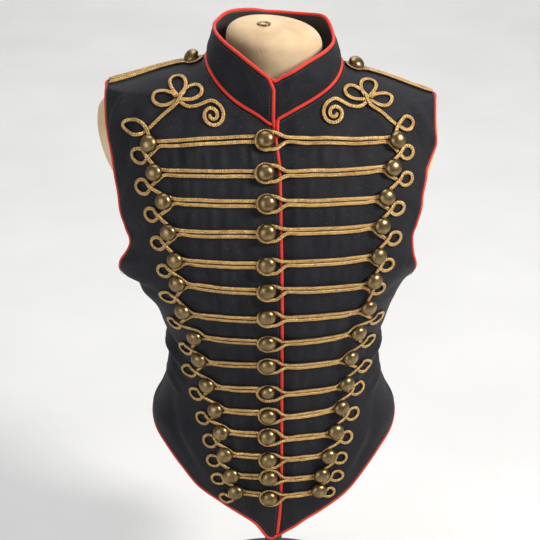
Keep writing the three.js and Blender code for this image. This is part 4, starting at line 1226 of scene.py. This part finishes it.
def climb(x, z, distance):
    """The level that lies a distance up the cloth from z."""
    steps = 24
    level = np.broadcast_to(np.asarray(z, float), np.shape(distance)).copy()
    for _ in range(steps):
        above, below = (surface(angle_at(x, level + d), level + d) for d in (0.5, -0.5))
        level = level + np.asarray(distance) / steps / np.hypot(1, above[..., 1] - below[..., 1])
    return level


TREFOIL = {-1: (104, 740), 1: (102.5, 746)}
TREFOIL_NARROWING = 0.93
PETALS = [
    {"axis": 152, "from": 0, "length": 28.5, "width": 16},
    {"axis": 80, "from": 1.5, "length": 27.5, "width": 20},
    {"axis": -6, "from": 5, "length": 27, "width": 17},
]
PETAL_WAIST = 0.55
SPIRAL = {"inward": 38.5, "level": {-1: -17, 1: -16}, "outer": 16.5, "inner": 2.3, "turns": 1.85, "start": 86}


def petal(shape):
    turned = math.radians(shape["axis"])
    s = np.linspace(0, 2 * math.pi, 15)
    far = shape["length"] * (1 - np.cos(s)) / 2
    aside = -shape["width"] / 1.7 * np.sin(s) * mix(PETAL_WAIST, 1, far / shape["length"])
    far = far + shape["from"]
    over = 1.1 * ease(s, 4.6, 6.2)
    return np.stack([far * math.cos(turned) - aside * math.sin(turned),
                     far * math.sin(turned) + aside * math.cos(turned), over], -1)


def spiral(side):
    t = np.linspace(0, 1, 22)
    angle = math.radians(SPIRAL["start"]) + t * SPIRAL["turns"] * 2 * math.pi
    radius = mix(SPIRAL["outer"], SPIRAL["inner"], t**0.72)
    middle = SPIRAL["level"][side]
    return np.stack([radius * np.cos(angle) - SPIRAL["inward"], radius * np.sin(angle) + middle, 0 * t], -1)


def trefoil_cord(side, stops):
    run = resample(np.asarray(stops, float), step=1.5)
    reach = TREFOIL[side][0] + TREFOIL_NARROWING * run[:, 0]
    level = climb(side * reach, TREFOIL[side][1], run[:, 1])
    return on_front(side * reach, level, BRAID_LIFT + np.maximum(run[:, 2], 0))


def cord_body(points, out):
    length = distances(points)
    widths = narrowing(points[:, 2]) * (1 + uneven(length, 6, 0.025))
    return sweep(points + out * uneven(length, 9, 0.07)[:, None], out, CORD, taper=2.2, widths=widths)


for side, name in SIDES:
    tail = [(4, -2, 0), (-8, -9, 0), (-20, -7.5, 0)]
    bows = [petal(shape) for shape in PETALS] + [np.concatenate([tail, spiral(side)])]
    runs = [laid(side, cord_route(side))] + [trefoil_cord(side, stops) for stops in bows]
    joined(f"cord_{name}", [cord_body(*run) for run in runs], gold, f"braid_{name}")


# Shoulder cords: a doubled cord from the armhole to a loop round the shoulder button

SHOULDER_BUTTON_REACH = 92
SHOULDER_BUTTON_LEAN = {-1: 0.75, 1: 0.40}
SHOULDER_BUTTON_TILT = -0.42
SHOULDER_CORD = {"outer": 186, "apart": 2.75, "parting": 14, "neck": 7, "loop": 9.5, "lift": 0.6,
                 "sag": 0.006}


def shoulder_cord(side):
    inner, loop = SHOULDER_BUTTON_REACH, SHOULDER_CORD["loop"]
    straight = np.linspace(SHOULDER_CORD["outer"], inner + SHOULDER_CORD["parting"], 9)
    reaches = np.concatenate([straight, [inner + SHOULDER_CORD["neck"]]])
    sides = np.concatenate([np.full(9, SHOULDER_CORD["apart"]), [2 * SHOULDER_CORD["apart"]]])
    turned = np.radians(np.linspace(60, 180, 6))
    loop_x, loop_y = inner + loop * np.cos(turned), loop * np.sin(turned)
    x = np.concatenate([reaches, loop_x, loop_x[-2::-1], reaches[::-1]])
    y = np.concatenate([sides, loop_y, -loop_y[-2::-1], -sides[::-1]])
    run = resample(np.stack([x, y, 0 * x], -1), step=1.5)
    angle, ridge = np.full(len(run), side * math.pi / 2), ridge_level(run[:, 0])
    points, out = on_surface(angle, ridge, SHOULDER_CORD["lift"])
    seam = surface(angle, ridge)
    seam[:, 1] += run[:, 1]
    points[:, 1] += run[:, 1]
    points[:, 2] += shoulder_roll(seam) - SHOULDER_CORD["sag"] * run[:, 1] ** 2
    lean = SHOULDERS[side]["lean"] * ease(run[:, 0], 96, 175)
    return cord_body(points, unit(out + np.stack([0 * lean, -lean, 0 * lean], -1)))


for side, name in SIDES:
    joined(f"cord_shoulder_{name}", [shoulder_cord(side)], gold, f"shoulder_cord_{name}")


# Buttons: domed brass over a flat rim, each sewn on a little askew


def button(point, out, radius=BUTTON_RADIUS, lean=(0.0, 0.0)):
    sideways = unit(np.array([1.0, 0, 0]) - out * out[0])
    upward = np.cross(out, sideways)
    axis = unit(out + sideways * lean[0] + upward * lean[1])
    sideways = unit(sideways - axis * (sideways @ axis))
    upward = np.cross(axis, sideways)
    around = np.linspace(0, 2 * math.pi, 40, endpoint=False)
    circle = np.cos(around)[:, None] * sideways + np.sin(around)[:, None] * upward
    rings = [(radius * 0.80, -0.5), (radius * 0.97, -0.6), (radius * 1.0, 0.0)]
    for swell in np.linspace(0, math.pi / 2, 11)[:-1]:
        height = 0.5 + (BUTTON_HEIGHT - 0.5) * math.sin(swell)
        rings.append((radius * 0.985 * math.cos(swell) ** 0.92, height))
    points = [point + axis * -0.5]
    for r, h in rings:
        points += list(point + circle * r + axis * h)
    points = np.array(points + [point + axis * BUTTON_HEIGHT])
    count = len(around)
    faces = [(0, 1 + (i + 1) % count, 1 + i) for i in range(count)]
    faces += grid_faces(len(rings), count, 1, wrap=True)
    last = 1 + (len(rings) - 1) * count
    faces += [(last + i, last + (i + 1) % count, len(points) - 1) for i in range(count)]
    return points, faces, np.zeros((len(points), 2))


def front_button(x, z, lift, **settings):
    at, out = on_front(np.array([float(x)]), np.array([float(z)]), lift)
    return button(at[0], out[0], **settings)


def askew():
    return rng.normal(0, 0.035, 2)


numbers = [f"{i:02d}" for i in range(1, len(ROWS) + 1)]
centre = []
for index, (_, level, across) in enumerate(ROWS):
    settings = SMALL_BUTTON if index == SMALL_BUTTON_ROW else {"lean": askew()}
    centre.append(front_button(across, level, CENTRE_LIFT, **settings))
joined("buttons_centre", centre, brass, *[f"button_centre_{n}" for n in numbers])
for side, name in SIDES:
    made = [front_button(side * row[2], row[3], BUTTON_LIFT, lean=askew()) for row in rows_of(side)]
    joined(f"buttons_{name}", made, brass, *[f"button_{name}_{n}" for n in numbers])
for side, name in SIDES:
    ridge = ridge_level(np.array([float(SHOULDER_BUTTON_REACH)]))
    at, out = on_surface(np.array([side * math.pi / 2]), ridge, 3.4)
    turned = unit(out[0] + np.array([side * SHOULDER_BUTTON_LEAN[side], SHOULDER_BUTTON_TILT, 0]))
    made = [button(at[0] + turned * 1.5, turned)]
    joined(f"button_on_shoulder_{name}", made, brass, f"button_shoulder_{name}")


# Dress form and stand


def form_body():
    levels = np.concatenate([np.linspace(FORM_BOTTOM, 700, 90)[:-1], np.linspace(700, NECK_ROUNDED, 50)])
    around = np.linspace(-math.pi, math.pi, 145)
    angle, level = np.meshgrid(around, levels)
    body = ring_point(FORM, angle, level)
    rim = body[-1]
    cap = []
    for t in np.linspace(0, math.pi / 2, 26)[1:]:
        ring = mix(np.array([0, AXIS_Y, 0.0]), rim, math.cos(t) ** 0.62)
        ring[:, 2] = NECK_ROUNDED + (NECK_TOP - NECK_ROUNDED) * math.sin(t) ** 0.85
        cap.append(ring)
    foot = [mix(np.array([0, AXIS_Y, FORM_BOTTOM]), body[0], t) for t in (0.06, 0.25, 0.6, 0.999)]
    for ring in foot:
        ring[:, 2] = FORM_BOTTOM
    form = np.concatenate([np.array(foot), body, np.array(cap)])
    level = form[..., 2].copy()
    form[..., 2] -= (tilt(level) + NECK_TILT * ease(level, 765, 806)) * form[..., 0]
    form[..., 0] -= FORM_SHIFT * ease(level, 600, 680) * (1 - ease(level, 730, 760))
    return form


form_points = form_body()
high, wide = form_points.shape[:2]
form = new_object("form_cover", form_points.reshape(-1, 3), grid_faces(high, wide), [stockinette],
                  uv=metric_uv(form_points).reshape(-1, 2))
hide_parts("dress_form")


def lathe(name, profile, material, sides=96, middle=(0, 0, 0)):
    around = np.linspace(0, 2 * math.pi, sides, endpoint=False)
    rings = np.array([[(r * math.cos(a), r * math.sin(a), z) for a in around] for r, z in profile])
    points = rings.reshape(-1, 3) + np.array(middle)
    faces = grid_faces(len(profile), sides, wrap=True)
    last = (len(profile) - 1) * sides
    faces += [list(range(sides))[::-1], [last + i for i in range(sides)]]
    return new_object(name, points, faces, [material])


cap_points = form_points[-26:].reshape(-1, 3)
FITTING = (-11.5, -7.0)
nearest = cap_points[np.argmin(np.hypot(cap_points[:, 0] - FITTING[0], cap_points[:, 1] - FITTING[1]))]
fitting = lathe("neck_fitting", [
    (7.8, -1.5), (7.8, 0.5), (7.2, 1.1), (5.6, 1.3), (4.4, 1.0), (3.9, 0.3), (3.7, -0.6), (0.5, -0.9),
], brass, 40, (*FITTING, nearest[2]))

stand = lathe("stand_body", [
    (148.6, 0.0), (BASE_RADIUS, 1.6), (BASE_RADIUS, 11.4), (149.2, 14.2), (147.0, 16.4), (144, 17.7),
    (120, 18.6), (60, 20.4), (26, 21.7), (21, 23.2), (17.4, 25.6), (14.8, 29.0), (14, 33), (14, 58),
    (13.2, 60.6), (11.6, 62), (11.2, 63.4), (POLE_RADIUS, 64.4), (POLE_RADIUS, FORM_BOTTOM - 0.4),
], steel)
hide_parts("stand")


# Room, light and camera


def floor_material():
    s = Shader("pale_floor", (0.80, 0.79, 0.77), 0.7)
    haze = s.noise(3.0, 3, 0.5)
    s.color(s.ramp(haze, (0.3, (0.66, 0.655, 0.64)), (0.7, (0.71, 0.705, 0.69))))
    return s.material


FLOOR = {"half": 5000, "bend": 3000, "radius": 500, "top": 3000}


def backdrop():
    """A floor that bends up into a wall far behind the stand."""
    half, bend, radius = FLOOR["half"], FLOOR["bend"], FLOOR["radius"]
    turns = np.linspace(0.15, math.pi / 2, 12)
    profile = [(-half, 0), (bend, 0)]
    profile += [(bend + radius * math.sin(a), radius - radius * math.cos(a)) for a in turns]
    profile.append((bend + radius, FLOOR["top"]))
    points = [(x, y, z) for y, z in profile for x in (-half, half)]
    faces = [(2 * i, 2 * i + 1, 2 * i + 3, 2 * i + 2) for i in range(len(profile) - 1)]
    mesh = bpy.data.meshes.new("floor")
    mesh.from_pydata((np.array(points) * MM).tolist(), [], faces)
    mesh.materials.append(floor_material())
    mesh.polygons.foreach_set("use_smooth", [True] * len(mesh.polygons))
    floor = bpy.data.objects.new("floor", mesh)
    bpy.context.scene.collection.objects.link(floor)


def soft_light(name, place, target, size, power, color=(1, 1, 1)):
    data = bpy.data.lights.new(name, "AREA")
    data.shape, data.size, data.size_y = "RECTANGLE", *size
    data.energy, data.color = power, color
    light = bpy.data.objects.new(name, data)
    light.location = place
    away = np.array(target) - np.array(place)
    light.rotation_euler = (math.atan2(math.hypot(away[0], away[1]), -away[2]), 0,
                            math.atan2(away[1], away[0]) - math.pi / 2)
    bpy.context.scene.collection.objects.link(light)


backdrop()
soft_light("key", (1.7, -0.95, 1.95), (0, 0, 0.5), (0.5, 0.5), 62, (1.0, 0.98, 0.95))
soft_light("fill", (-1.5, -1.7, 0.9), (0, 0, 0.4), (1.4, 1.4), 15, (0.95, 0.975, 1.0))
soft_light("top", (-0.2, 0.4, 2.6), (0, 0, 0.5), (1.4, 1.0), 18)
soft_light("far", (0, 2.3, 2.9), (0, 2.5, 0), (3.0, 1.2), 46)
world = bpy.data.worlds.new("room")
world.use_nodes = True
world.node_tree.nodes["Background"].inputs[0].default_value = (0.92, 0.94, 1.0, 1)
world.node_tree.nodes["Background"].inputs[1].default_value = 0.38
bpy.context.scene.world = world

lens = bpy.data.cameras.new("camera")
lens.lens, lens.sensor_width = 96.47, 36
camera = bpy.data.objects.new("camera", lens)
camera.location = (-0.00456, -1.58461, 1.25029)
camera.rotation_euler = (math.radians(65), 0, 0)
bpy.context.scene.collection.objects.link(camera)
bpy.context.scene.camera = camera
bpy.context.scene.view_settings.view_transform = "Standard"
